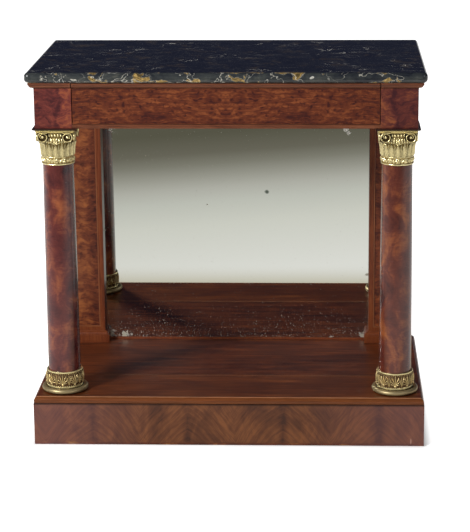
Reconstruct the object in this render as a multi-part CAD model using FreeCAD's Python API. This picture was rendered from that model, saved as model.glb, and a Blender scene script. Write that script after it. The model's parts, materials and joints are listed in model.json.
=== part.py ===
"""Pier table with a hidden frieze drawer, two columns and a mirror back.

Millimetres.  X runs along the front, -Y is the front, +Z is up.  The origin
is on the floor, at the middle of the plinth's footprint.
"""
import FreeCAD, Part
import math
import os

V = FreeCAD.Vector
os.makedirs("parts", exist_ok=True)

# ---------------------------------------------------------------- heights
plinth_height = 105.0
platform_thickness = 16.0
column_height = 663.0
drawer_rail_thickness = 10.0
drawer_face_height = 87.0
cornice_height = 14.0
marble_thickness = 25.0

# ------------------------------------------------------------ plan sizes
plinth_width = 954.0
plinth_depth = 524.0
frieze_side_setback = 23.0
frieze_front_setback = 26.0
frieze_wall_gap = 12.0
marble_overhang = 20.0
marble_edge_radius = 10.0
marble_corner_radius = 12.0

# ---------------------------------------------------------------- cornice
cornice_projection = 12.0
cornice_fillet = 5.5
cornice_foot = 1.4
cornice_foot_height = 1.2
cornice_quirk = 1.6

# --------------------------------------------------------- frieze joinery
block_width = 89.0
block_depth = 92.0
rail_thickness = 22.0
rail_tenon_length = 10.0
rail_tenon_thickness = 10.0
rail_tenon_shoulder = 14.0
drawer_rail_depth = 60.0
drawer_rail_shoulder = 2.0
top_rail_gap = 1.0
top_rail_depth = 62.0
top_rail_thickness = 24.0
top_rail_shoulder = 6.0
runner_overlap = 24.0
guide_width = 20.0
guide_height = 38.0
kicker_width = 26.0
bearer_width = 60.0
bearer_thickness = 18.0
stop_length = 42.0
stop_depth = 18.0
stop_height = 6.0
stop_spread = 220.0

# ----------------------------------------------------------------- drawer
drawer_side_gap = 1.8
drawer_face_gap = 1.2
drawer_top_gap = 1.0
running_clearance = 0.3
guide_clearance = 0.8
kicker_clearance = 2.0
drawer_front_thickness = 22.0
drawer_side_thickness = 12.0
drawer_back_thickness = 12.0
drawer_side_height = 72.0
drawer_end_room = 37.0
drawer_bottom_thickness = 7.0
drawer_bottom_raise = 8.0
drawer_groove_depth = 5.0
dovetail_count = 3
dovetail_neck = 11.0
dovetail_flare = 2.2
dovetail_lap = 6.0
dovetail_margin = 2.0
drawer_back_drop = 6.0

# ---------------------------------------------------------------- columns
column_side_inset = 47.0
column_front_inset = 46.0
shaft_foot_radius = 39.5
shaft_neck_radius = 36.0
entasis_swell = 0.7
tenon_radius = 25.0
tenon_clearance = 0.1
top_tenon_length = 24.0
foot_tenon_length = 38.0
tenon_end_room = 2.0

# ---------------------------------------------------------- gilt mounts
abacus_width = 107.0
abacus_thickness = 4.0
abacus_chamfer = 2.4
capital_width = 94.0
capital_height = 87.0
capital_band_height = 7.0
volute_zone_height = 27.0
volute_radius = 12.5
volute_spread = 30.0
volute_eye_radius = 2.6
volute_relief = 1.6
volute_ribbon = 2.0
volute_turns = 1.5
volute_steps = 8
volute_thickness = 8.0
volute_lip = 0.6
volute_root = 0.4
volute_cushion_share = 0.45
capital_wall = 1.6
sleeve_clearance = 0.1
bell_top_radius = 39.0
bell_band_height = 16.0
bell_band_projection = 0.6
bell_rim_height = 3.5
bell_rim_projection = 1.4
echinus_projection = 3.0
collar_height = 41.0
collar_foot_radius = 43.4
collar_swell_radius = 46.0
collar_rim_radius = 44.2
collar_bead = 3.0
collar_bead_projection = 1.0
collar_swell_share = 0.45
torus_radius = 56.6
torus_height = 13.0
torus_steps = 4
torus_hollow = 2.0

# ------------------------------------------------------ back of the table
post_width = 104.0
mirror_wall_gap = 40.0
mirror_reveal = 24.0
mirror_glass_thickness = 4.0
mirror_rebate = 8.0
backboard_rebate = 24.0
backboard_thickness = 10.0
backboard_gap = 1.0
backboard_count = 3
glass_play = 1.0
glass_head_drop = 9.0
head_rail_height = 26.0
head_rail_thickness = 20.0
head_tenon_thickness = 8.0
head_tenon_shoulder = 4.0
slip_size = 5.0
border_thickness = 4.0
border_width = 16.0
panel_thickness = 2.4
pilaster_base_height = 30.0
pilaster_base_plain = 19.0
pilaster_base_projection = 11.0
pilaster_base_step = 2.0
base_rail_height = 13.0
post_stub_height = 76.0
post_tenon_width = 60.0
post_tenon_depth = 22.0
post_tenon_length = 12.0
post_tenon_inset = 8.0

# -------------------------------------------------------- platform, plinth
board_joint_setback = 178.0
platform_inset = 8.0
platform_lip = 1.0
platform_quirk = 1.6
platform_foot_height = 2.2
plinth_board_thickness = 22.0
plinth_arris = 1.2
corner_block_size = 90.0
rear_block_size = 52.0
corner_block_lift = 15.0
brace_thickness = 22.0
brace_lift = 25.0
glue_block_size = 24.0
glue_block_length = 60.0

# ------------------------------------------------------- derived levels
platform_bottom = plinth_height
platform_top = platform_bottom + platform_thickness
frieze_bottom = platform_top + column_height
drawer_rail_top = frieze_bottom + drawer_rail_thickness
cornice_bottom = drawer_rail_top + drawer_face_height
marble_bottom = cornice_bottom + cornice_height
table_top = marble_bottom + marble_thickness

plinth_front_y = -plinth_depth / 2
wall_y = plinth_depth / 2
half_plinth = plinth_width / 2
half_frieze = half_plinth - frieze_side_setback
half_opening = half_frieze - block_width
frieze_front_y = plinth_front_y + frieze_front_setback
frieze_back_y = wall_y - frieze_wall_gap
block_back_y = frieze_front_y + block_depth
rail_inner_x = half_frieze - rail_thickness
back_rail_y = frieze_back_y - rail_thickness

column_x = half_frieze - column_side_inset
column_y = frieze_front_y + column_front_inset
bore_radius = tenon_radius + tenon_clearance

mirror_y = wall_y - mirror_wall_gap
half_sight = half_frieze - post_width
pilaster_front_y = mirror_y - mirror_reveal
post_front_y = pilaster_front_y + border_thickness
glass_back_y = mirror_y + mirror_glass_thickness
backboard_y = glass_back_y + backboard_gap

top_rail_front = frieze_front_y + drawer_front_thickness + top_rail_gap
top_rail_back = top_rail_front + top_rail_depth

SIDES = (("left", -1.0), ("right", 1.0))
QUARTER_BULGE = math.sqrt(0.5)
OVERCUT = 1.0
NEAR = 0.01


# ------------------------------------------------------------ small tools
def save(name, shape):
    """Write one sub-part."""
    shape.exportStep("parts/" + name + ".step")


def span_box(x0, x1, y0, y1, z0, z1):
    """A box between two corners, given in any order."""
    low = V(min(x0, x1), min(y0, y1), min(z0, z1))
    return Part.makeBox(abs(x1 - x0), abs(y1 - y0), abs(z1 - z0), low)


def mirrored(shape, side):
    """The right-hand piece as it is, or its left-hand twin."""
    if side > 0:
        return shape
    return shape.mirror(V(0, 0, 0), V(1, 0, 0))


def save_pair(name, shape):
    """Write a right-hand piece and its left-hand twin as one sub-part."""
    save(name, Part.makeCompound([mirrored(shape, -1), shape]))


def prism(points, direction):
    """A flat polygon pushed along a vector."""
    return Part.Face(Part.makePolygon(points + points[:1])).extrude(direction)


def profile_edges(start, steps, place):
    """Edges of a moulding's profile; place() turns (inset, z) into a point.

    A step is (end,) for a straight run or (middle, end) for an arc.
    """
    edges = []
    here = start
    for step in steps:
        if len(step) == 1:
            edges.append(Part.makeLine(place(*here), place(*step[0])))
        else:
            arc = Part.Arc(place(*here), place(*step[0]), place(*step[1]))
            edges.append(arc.toShape())
        here = step[-1]
    return edges, here


def closed_face(edges):
    """A face from edges that form one ring."""
    return Part.Face(Part.Wire(Part.sortEdges(edges)[0]))


def moulded_slab(half_width, front_y, back_y, start, steps):
    """A slab with one moulding, mitred round its front and both sides.

    It is what two extrusions have in common: the cross-section of the front,
    pushed along X, and the cross-section of both sides, pushed along Y.
    """
    def right_place(inset, z):
        return V(half_width - inset, back_y, z)

    def left_place(inset, z):
        return V(-half_width + inset, back_y, z)

    def front_place(inset, z):
        return V(-half_width, front_y + inset, z)

    right, end = profile_edges(start, steps, right_place)
    left, end = profile_edges(start, steps, left_place)
    foot = Part.makeLine(left_place(*start), right_place(*start))
    head = Part.makeLine(left_place(*end), right_place(*end))
    across = closed_face([foot] + right + [head] + left)
    across = across.extrude(V(0, front_y - back_y, 0))

    front, end = profile_edges(start, steps, front_place)
    low_back = V(-half_width, back_y, start[1])
    high_back = V(-half_width, back_y, end[1])
    ring = front + [
        Part.makeLine(front_place(*end), high_back),
        Part.makeLine(high_back, low_back),
        Part.makeLine(low_back, front_place(*start)),
    ]
    along = closed_face(ring).extrude(V(2 * half_width, 0, 0))
    return across.common(along)


def turned(profile, x, y):
    """A solid turned about a vertical axis; profile holds (radius, z)."""
    points = [V(x + radius, y, z) for radius, z in profile]
    face = Part.Face(Part.makePolygon(points + points[:1]))
    return face.revolve(V(x, y, 0), V(0, 0, 1), 360)


def turned_edges(edges, x, y):
    """A solid turned about a vertical axis from a ring of edges."""
    return closed_face(edges).revolve(V(x, y, 0), V(0, 0, 1), 360)


def cylinder(radius, z0, z1, x, y):
    """An upright cylinder."""
    return Part.makeCylinder(radius, z1 - z0, V(x, y, z0))


# ============================================================== the plinth
def make_plinth():
    """Four boards round the foot, with blocks glued in the corners."""
    inner = half_plinth - plinth_board_thickness
    front_inner = plinth_front_y + plinth_board_thickness
    back_inner = wall_y - plinth_board_thickness

    front = span_box(-half_plinth, half_plinth, plinth_front_y, front_inner,
                     0, plinth_height)
    arris = [e for e in front.Edges
             if abs(e.CenterOfMass.z - plinth_height) < NEAR
             and abs(e.CenterOfMass.y - plinth_front_y) < NEAR]
    save("plinth_front", front.makeFillet(plinth_arris, arris))

    for name, side in SIDES:
        board = span_box(inner, half_plinth, front_inner, wall_y,
                         0, plinth_height)
        arris = [e for e in board.Edges
                 if abs(e.CenterOfMass.z - plinth_height) < NEAR
                 and abs(e.CenterOfMass.x - half_plinth) < NEAR]
        board = board.makeFillet(plinth_arris, arris)
        save("plinth_side_" + name, mirrored(board, side))

    save("plinth_back", span_box(-inner, inner, back_inner, wall_y,
                                 0, plinth_height))

    blocks = []
    for name, side in SIDES:
        front_block = span_box(inner - corner_block_size, inner, front_inner,
                               front_inner + corner_block_size,
                               corner_block_lift, plinth_height)
        socket_floor = platform_top - foot_tenon_length - tenon_end_room
        socket = cylinder(bore_radius, socket_floor,
                          plinth_height + OVERCUT, column_x, column_y)
        front_block = front_block.cut(socket)
        rear_block = span_box(inner - rear_block_size, inner,
                              back_inner - rear_block_size, back_inner,
                              corner_block_lift, plinth_height)
        blocks += [mirrored(front_block, side), mirrored(rear_block, side)]
    save("plinth_corner_blocks", Part.makeCompound(blocks))

    save("plinth_brace", span_box(-brace_thickness / 2, brace_thickness / 2,
                                  front_inner, back_inner,
                                  brace_lift, plinth_height))

    def glue_block(corner, toward, along):
        """A three-sided block in the angle of a board and the platform."""
        top = V(corner.x, corner.y, plinth_height)
        points = [top, top + toward * glue_block_size,
                  top - V(0, 0, glue_block_size)]
        return prism(points, along * glue_block_length)

    quarter = inner / 2
    glued = []
    for side in (-1.0, 1.0):
        start = side * quarter - glue_block_length / 2
        glued.append(glue_block(V(start, front_inner, 0),
                                V(0, 1, 0), V(1, 0, 0)))
        glued.append(glue_block(V(start, back_inner, 0),
                                V(0, -1, 0), V(1, 0, 0)))
        glued.append(glue_block(V(side * inner, -glue_block_length / 2, 0),
                                V(-side, 0, 0), V(0, 1, 0)))
    save("plinth_glue_blocks", Part.makeCompound(glued))


# ============================================================ the platform
def make_platform():
    """Two edge-glued boards with a moulding round front and sides."""
    lower = platform_bottom + platform_quirk
    arc_low = lower + platform_foot_height
    arc_high = platform_top - platform_quirk
    arc_in = platform_inset - platform_quirk
    arc_mid = (platform_lip + (1 - QUARTER_BULGE) * (arc_in - platform_lip),
               arc_low + QUARTER_BULGE * (arc_high - arc_low))
    start = (platform_lip + platform_quirk, platform_bottom)
    steps = [((platform_lip, lower),),
             ((platform_lip, arc_low),),
             (arc_mid, (arc_in, arc_high)),
             ((platform_inset, arc_high),),
             ((platform_inset, platform_top),)]
    slab = moulded_slab(half_plinth, plinth_front_y, wall_y, start, steps)
    joint_y = plinth_front_y + board_joint_setback

    front = slab.common(span_box(-half_plinth, half_plinth, plinth_front_y,
                                 joint_y, platform_bottom, platform_top))
    rear = slab.common(span_box(-half_plinth, half_plinth, joint_y, wall_y,
                                platform_bottom, platform_top))
    for name, side in SIDES:
        front = front.cut(cylinder(bore_radius, platform_bottom - OVERCUT,
                                   platform_top + OVERCUT, side * column_x,
                                   column_y))
        rear = rear.cut(mirrored(post_tenon(tenon_clearance), side))
    save("platform_front_board", front)
    save("platform_rear_board", rear)


def post_tenon(ease):
    """The stub tenon under a rear post, or its mortise when eased."""
    middle_x = (half_sight + half_frieze) / 2 + backboard_rebate / 2
    middle_y = post_front_y + post_tenon_depth / 2 + post_tenon_inset
    half_x = post_tenon_width / 2 + ease
    half_y = post_tenon_depth / 2 + ease
    return span_box(middle_x - half_x, middle_x + half_x,
                    middle_y - half_y, middle_y + half_y,
                    platform_top - post_tenon_length - ease, platform_top)


# ============================================= rear posts and their panels
def head_tenon(ease):
    """The tenon at the right end of the mirror's head rail."""
    low = frieze_bottom - head_rail_height + head_tenon_shoulder
    high = frieze_bottom - head_tenon_shoulder
    middle_y = mirror_y - head_rail_thickness / 2
    half_y = head_tenon_thickness / 2 + ease
    return span_box(half_sight, half_sight + rail_tenon_length + ease,
                    middle_y - half_y, middle_y + half_y,
                    low - ease, high + ease)


def make_posts():
    """Square posts at the back, each faced as a panelled pilaster."""
    for name, side in SIDES:
        post = span_box(half_sight, half_frieze, post_front_y, frieze_back_y,
                        platform_top, frieze_bottom)
        stub = span_box(half_sight, rail_inner_x, post_front_y, back_rail_y,
                        frieze_bottom, frieze_bottom + post_stub_height)
        post = post.fuse([stub, post_tenon(0)])
        post = post.cut(span_box(half_sight, half_sight + mirror_rebate,
                                 mirror_y, frieze_back_y,
                                 platform_top, frieze_bottom))
        post = post.cut(span_box(half_sight, half_sight + backboard_rebate,
                                 glass_back_y, frieze_back_y,
                                 platform_top, frieze_bottom))
        post = post.cut(head_tenon(tenon_clearance))
        save("rear_post_" + name, mirrored(post.removeSplitter(), side))

        border = span_box(half_sight, half_frieze, pilaster_front_y,
                          post_front_y, platform_top, frieze_bottom)
        opening = panel_box(pilaster_front_y - OVERCUT,
                            post_front_y + OVERCUT)
        save("pilaster_border_" + name,
             mirrored(border.cut(opening), side))

        panel = panel_box(post_front_y - panel_thickness, post_front_y)
        save("pilaster_panel_" + name, mirrored(panel, side))

        save("pilaster_base_" + name, mirrored(pilaster_base(), side))


def panel_box(front, back):
    """The sunk field of the right pilaster, between two depths."""
    low = platform_top + pilaster_base_height + base_rail_height
    return span_box(half_sight + border_width, half_frieze - border_width,
                    front, back, low, frieze_bottom - border_width)


def pilaster_base():
    """A moulded base that wraps the front and both sides of a pilaster."""
    reach = pilaster_base_projection
    half_width = post_width / 2 + reach
    middle_x = (half_frieze + half_sight) / 2
    plain = platform_top + pilaster_base_plain
    top = platform_top + pilaster_base_height
    cove_low = plain + pilaster_base_step
    cove_high = top - pilaster_base_step
    cove_in = reach - pilaster_base_step
    run = cove_in - pilaster_base_step
    rise = cove_high - cove_low
    start = (0, platform_top)
    steps = [((0, plain),),
             ((pilaster_base_step, plain),),
             ((pilaster_base_step, cove_low),),
             ((pilaster_base_step + run * (1 - QUARTER_BULGE),
               cove_low + rise * QUARTER_BULGE),
              (cove_in, cove_high)),
             ((cove_in, top),)]
    slab = moulded_slab(half_width, pilaster_front_y - reach, frieze_back_y,
                        start, steps)
    slab.translate(V(middle_x, 0, 0))
    post = span_box(half_sight, half_frieze, pilaster_front_y,
                    frieze_back_y + OVERCUT, 0, frieze_bottom)
    behind_glass = span_box(0, half_sight, mirror_y,
                            frieze_back_y + OVERCUT, 0, frieze_bottom)
    return slab.cut([post, behind_glass])


def make_mirror():
    """Looking glass in the posts' rebates, boarded behind."""
    half_glass = half_sight + mirror_rebate - glass_play
    glass_top = frieze_bottom - glass_head_drop
    save("mirror_glass", span_box(-half_glass, half_glass, mirror_y,
                                  glass_back_y, platform_top, glass_top))

    rail = span_box(-half_sight, half_sight, mirror_y - head_rail_thickness,
                    mirror_y, frieze_bottom - head_rail_height,
                    frieze_bottom)
    rail = rail.fuse([head_tenon(0), mirrored(head_tenon(0), -1)])
    save("mirror_head_rail", rail.removeSplitter())

    half_slip = half_sight - pilaster_base_projection
    corner = V(-half_slip, mirror_y, platform_top)
    up = corner + V(0, 0, slip_size)
    out = corner + V(0, -slip_size, 0)
    bulge = slip_size * QUARTER_BULGE
    round_edge = Part.Arc(up, corner + V(0, -bulge, bulge), out).toShape()
    slip = closed_face([Part.makeLine(corner, up), round_edge,
                        Part.makeLine(out, corner)])
    save("mirror_slip", slip.extrude(V(2 * half_slip, 0, 0)))

    half_board = half_sight + backboard_rebate - glass_play
    height = (frieze_bottom - platform_top) / backboard_count
    boards = []
    for i in range(backboard_count):
        low = platform_top + i * height
        boards.append(span_box(-half_board, half_board, backboard_y,
                               backboard_y + backboard_thickness,
                               low, low + height))
    save("mirror_backboards", Part.makeCompound(boards))


# ============================================================== the frieze
def side_rail_tenon(ease):
    """The tenon from the right side rail into its corner block."""
    middle = (rail_inner_x + half_frieze) / 2
    half = rail_tenon_thickness / 2 + ease
    return span_box(middle - half, middle + half,
                    block_back_y - rail_tenon_length - ease, block_back_y,
                    frieze_bottom + rail_tenon_shoulder - ease,
                    marble_bottom - rail_tenon_shoulder + ease)


def drawer_rail_tenon(ease):
    """The tenon from the drawer rail into the right corner block."""
    back = frieze_front_y + drawer_rail_depth
    return span_box(half_opening, half_opening + rail_tenon_length + ease,
                    frieze_front_y + rail_tenon_shoulder - ease,
                    back - rail_tenon_shoulder + ease,
                    frieze_bottom + drawer_rail_shoulder - ease,
                    drawer_rail_top - drawer_rail_shoulder + ease)


def top_rail_tenon(ease):
    """The tenon from the upper front rail into the right corner block."""
    low = marble_bottom - top_rail_thickness + top_rail_shoulder
    return span_box(half_opening, half_opening + rail_tenon_length + ease,
                    top_rail_front + rail_tenon_shoulder - ease,
                    top_rail_back - rail_tenon_shoulder + ease,
                    low - ease, marble_bottom - top_rail_shoulder + ease)


def make_frieze():
    """Corner blocks over the columns, rails between them."""
    for name, side in SIDES:
        block = span_box(half_opening, half_frieze, frieze_front_y,
                         block_back_y, frieze_bottom, marble_bottom)
        socket = cylinder(bore_radius, frieze_bottom - OVERCUT,
                          frieze_bottom + top_tenon_length + tenon_end_room,
                          column_x, column_y)
        block = block.cut([socket, side_rail_tenon(tenon_clearance),
                           drawer_rail_tenon(tenon_clearance),
                           top_rail_tenon(tenon_clearance)])
        save("frieze_block_" + name, mirrored(block, side))

        rail = span_box(rail_inner_x, half_frieze, block_back_y,
                        frieze_back_y, frieze_bottom, marble_bottom)
        rail = rail.fuse(side_rail_tenon(0)).removeSplitter()
        save("frieze_side_rail_" + name, mirrored(rail, side))

    save("frieze_back_rail", span_box(-rail_inner_x, rail_inner_x,
                                      back_rail_y, frieze_back_y,
                                      frieze_bottom, marble_bottom))

    drawer_rail = span_box(-half_opening, half_opening, frieze_front_y,
                           frieze_front_y + drawer_rail_depth,
                           frieze_bottom, drawer_rail_top)
    tenon = drawer_rail_tenon(0)
    drawer_rail = drawer_rail.fuse([tenon, mirrored(tenon, -1)])
    save("drawer_rail", drawer_rail.removeSplitter())

    top_rail = span_box(-half_opening, half_opening, top_rail_front,
                        top_rail_back, marble_bottom - top_rail_thickness,
                        marble_bottom)
    tenon = top_rail_tenon(0)
    top_rail = top_rail.fuse([tenon, mirrored(tenon, -1)])
    save("upper_front_rail", top_rail.removeSplitter())

    save("marble_bearer", span_box(-bearer_width / 2, bearer_width / 2,
                                   top_rail_back, back_rail_y,
                                   marble_bottom - bearer_thickness,
                                   marble_bottom))
    make_cornice()
    make_drawer_way()


def cornice_slab():
    """The cornice as a whole slab, before it is cut into lengths."""
    reach = cornice_projection
    fillet_low = marble_bottom - cornice_fillet
    cove_low = cornice_bottom + cornice_foot_height
    cove_in = reach - cornice_foot
    run = cove_in - cornice_quirk
    rise = fillet_low - cove_low
    start = (reach, cornice_bottom)
    steps = [((cove_in, cornice_bottom),),
             ((cove_in, cove_low),),
             ((cornice_quirk + run * (1 - QUARTER_BULGE),
               cove_low + rise * (1 - QUARTER_BULGE)),
              (cornice_quirk, fillet_low)),
             ((0, fillet_low),),
             ((0, marble_bottom),)]
    return moulded_slab(half_frieze + reach, frieze_front_y - reach,
                        frieze_back_y, start, steps)


def make_cornice():
    """Cornice moulding, mitred at the front corners, cut at the drawer."""
    low = cornice_bottom - OVERCUT
    high = marble_bottom + OVERCUT
    ring = cornice_slab().cut(
        span_box(-half_frieze, half_frieze, frieze_front_y,
                 frieze_back_y + OVERCUT, low, high))
    reach = cornice_projection + OVERCUT
    rise = V(0, 0, high - low)
    front_y = frieze_front_y - reach
    outer_x = half_frieze + reach
    front_zone = prism([V(half_opening, frieze_front_y, low),
                        V(half_opening, front_y, low),
                        V(outer_x, front_y, low),
                        V(half_frieze, frieze_front_y, low)], rise)
    side_zone = prism([V(half_frieze, frieze_front_y, low),
                       V(outer_x, front_y, low),
                       V(outer_x, frieze_back_y, low),
                       V(half_frieze, frieze_back_y, low)], rise)
    for name, side in SIDES:
        save("cornice_block_" + name, mirrored(ring.common(front_zone), side))
        save("cornice_side_" + name, mirrored(ring.common(side_zone), side))

    half_drawer = half_opening - drawer_side_gap
    drawer_zone = span_box(-half_drawer, half_drawer, front_y,
                           frieze_front_y, low,
                           marble_bottom - drawer_top_gap)
    save("drawer_cornice", ring.common(drawer_zone))


def make_drawer_way():
    """Runners, guides and kickers that carry the drawer."""
    rail_back = frieze_front_y + drawer_rail_depth
    half_drawer = half_opening - drawer_side_gap
    side_inner = half_drawer - drawer_side_thickness
    guide_x = half_drawer + guide_clearance
    side_top = drawer_rail_top + running_clearance + drawer_side_height
    for name, side in SIDES:
        runner = span_box(side_inner + drawer_side_thickness
                          - runner_overlap, rail_inner_x,
                          rail_back, post_front_y,
                          frieze_bottom, drawer_rail_top)
        runner = runner.cut(span_box(half_opening, half_frieze,
                                     frieze_front_y, block_back_y,
                                     frieze_bottom, marble_bottom))
        save("drawer_runner_" + name, mirrored(runner, side))

        guide = span_box(guide_x, guide_x + guide_width, block_back_y,
                         post_front_y, drawer_rail_top,
                         drawer_rail_top + guide_height)
        save("drawer_guide_" + name, mirrored(guide, side))

        kicker = span_box(half_drawer - kicker_width, half_drawer,
                          top_rail_back, back_rail_y,
                          side_top + kicker_clearance, marble_bottom)
        save("drawer_kicker_" + name, mirrored(kicker, side))

    stop_y = frieze_front_y + drawer_front_thickness + running_clearance
    stops = []
    for side in (-1.0, 1.0):
        middle = side * stop_spread
        stops.append(span_box(middle - stop_length / 2,
                              middle + stop_length / 2,
                              stop_y, stop_y + stop_depth,
                              drawer_rail_top,
                              drawer_rail_top + stop_height))
    save("drawer_stops", Part.makeCompound(stops))


# ============================================================== the drawer
drawer_low = drawer_rail_top + running_clearance
drawer_face_low = drawer_rail_top + drawer_face_gap
half_drawer_front = half_opening - drawer_side_gap
drawer_face_back = frieze_front_y + drawer_front_thickness
drawer_end_y = post_front_y - drawer_end_room
drawer_inner_x = half_drawer_front - drawer_side_thickness
drawer_floor = drawer_low + drawer_bottom_raise
drawer_back_top = drawer_low + drawer_side_height - drawer_back_drop


def tails(edge_y, reach, low, high):
    """Dovetails on the right-hand side, along one upright end.

    They start at edge_y and run reach along Y, growing wider as they go.
    """
    pitch = (high - low) / dovetail_count
    shapes = []
    for i in range(dovetail_count):
        middle = low + pitch * (i + 0.5)
        near = dovetail_neck / 2
        far = near + dovetail_flare
        points = [V(drawer_inner_x, edge_y, middle - near),
                  V(drawer_inner_x, edge_y, middle + near),
                  V(drawer_inner_x, edge_y + reach, middle + far),
                  V(drawer_inner_x, edge_y + reach, middle - far)]
        shapes.append(prism(points, V(drawer_side_thickness, 0, 0)))
    return shapes


def drawer_tails():
    """Every dovetail of the right-hand drawer side."""
    front_reach = -(drawer_front_thickness - dovetail_lap)
    front = tails(drawer_face_back, front_reach,
                  drawer_face_low + dovetail_margin,
                  drawer_low + drawer_side_height)
    back_reach = drawer_back_thickness
    back = tails(drawer_end_y - back_reach, back_reach,
                 drawer_floor + drawer_bottom_thickness, drawer_back_top)
    return front, back


def bottom_panel():
    """The drawer bottom, slid in from behind into its grooves."""
    groove = drawer_groove_depth
    return span_box(-drawer_inner_x - groove, drawer_inner_x + groove,
                    drawer_face_back - groove, drawer_end_y,
                    drawer_floor, drawer_floor + drawer_bottom_thickness)


def make_drawer():
    """A dovetailed drawer whose front is a length of the frieze itself."""
    front_tails, back_tails = drawer_tails()
    both_tails = [mirrored(t, s) for t in front_tails for s in (1, -1)]

    front = span_box(-half_drawer_front, half_drawer_front, frieze_front_y,
                     drawer_face_back, drawer_face_low,
                     marble_bottom - drawer_top_gap)
    front = front.cut(both_tails + [bottom_panel()])
    save("drawer_front", front)

    side_top = drawer_low + drawer_side_height
    back_y = drawer_end_y - drawer_back_thickness
    back = span_box(-half_drawer_front, half_drawer_front, back_y,
                    drawer_end_y, drawer_floor + drawer_bottom_thickness,
                    drawer_back_top)
    for name, side in SIDES:
        panel = span_box(drawer_inner_x, half_drawer_front,
                         drawer_face_back, drawer_end_y,
                         drawer_low, side_top)
        end_zone = span_box(drawer_inner_x, half_drawer_front, back_y,
                            drawer_end_y,
                            drawer_floor + drawer_bottom_thickness,
                            drawer_back_top)
        panel = panel.cut(end_zone).fuse(front_tails + back_tails)
        panel = panel.cut(bottom_panel()).removeSplitter()
        save("drawer_side_" + name, mirrored(panel, side))
        back = back.cut([mirrored(t, side) for t in back_tails])
    save("drawer_back", back)
    save("drawer_bottom", bottom_panel())


# ============================================================= the columns
def make_shafts():
    """Turned shafts with a slight swell and a round tenon at each end."""
    shoulder = frieze_bottom - abacus_thickness
    foot_z = platform_top
    mid_radius = (shaft_foot_radius + shaft_neck_radius) / 2 + entasis_swell
    foot = V(column_x + shaft_foot_radius, column_y, foot_z)
    middle = V(column_x + mid_radius, column_y, (foot_z + shoulder) / 2)
    neck = V(column_x + shaft_neck_radius, column_y, shoulder)

    axis_low = V(column_x, column_y, foot_z - foot_tenon_length)
    axis_high = V(column_x, column_y, frieze_bottom + top_tenon_length)
    low_out = axis_low + V(tenon_radius, 0, 0)
    high_out = axis_high + V(tenon_radius, 0, 0)
    low_neck = V(column_x + tenon_radius, column_y, foot_z)
    high_neck = V(column_x + tenon_radius, column_y, shoulder)
    ring = [Part.makeLine(axis_low, low_out),
            Part.makeLine(low_out, low_neck),
            Part.makeLine(low_neck, foot),
            Part.Arc(foot, middle, neck).toShape(),
            Part.makeLine(neck, high_neck),
            Part.makeLine(high_neck, high_out),
            Part.makeLine(high_out, axis_high),
            Part.makeLine(axis_high, axis_low)]
    shaft = turned_edges(ring, column_x, column_y)
    for name, side in SIDES:
        save("column_shaft_" + name, mirrored(shaft, side))


def sleeve_radius(z):
    """Inside radius of a mount that slips over the shaft at height z."""
    length = frieze_bottom - abacus_thickness - platform_top
    share = (z - platform_top) / length
    taper = shaft_foot_radius - shaft_neck_radius
    swell = 4 * entasis_swell * share * (1 - share)
    return shaft_foot_radius - taper * share + swell + sleeve_clearance


def scroll_points(outer, inner, offset):
    """Points of a scroll that winds in from its top, in its own plane."""
    count = int(volute_turns * volute_steps)
    points = []
    for i in range(count + 1):
        angle = math.pi / 2 + 2 * math.pi * i / volute_steps
        radius = outer + (inner - outer) * i / count - offset
        points.append((radius * math.cos(angle), radius * math.sin(angle)))
    return points


def volute(face_y, x, z, hand):
    """A raised scroll and its eye on a face that looks along -Y."""
    start = volute_radius - volute_lip
    inner_end = volute_eye_radius + volute_ribbon / 2
    depth = volute_relief + volute_root

    def place(point):
        return V(x + hand * point[0], face_y + volute_root, z + point[1])

    outer = [place(p) for p in scroll_points(start, inner_end, 0)]
    inner = [place(p) for p in scroll_points(start, inner_end,
                                             volute_ribbon)]
    ribbon = prism(outer + inner[::-1], V(0, -depth, 0))
    eye = []
    for i in range(volute_steps):
        angle = 2 * math.pi * i / volute_steps
        eye.append(place((volute_eye_radius * math.cos(angle),
                          volute_eye_radius * math.sin(angle))))
    return [ribbon, prism(eye, V(0, -depth, 0))]


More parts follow.
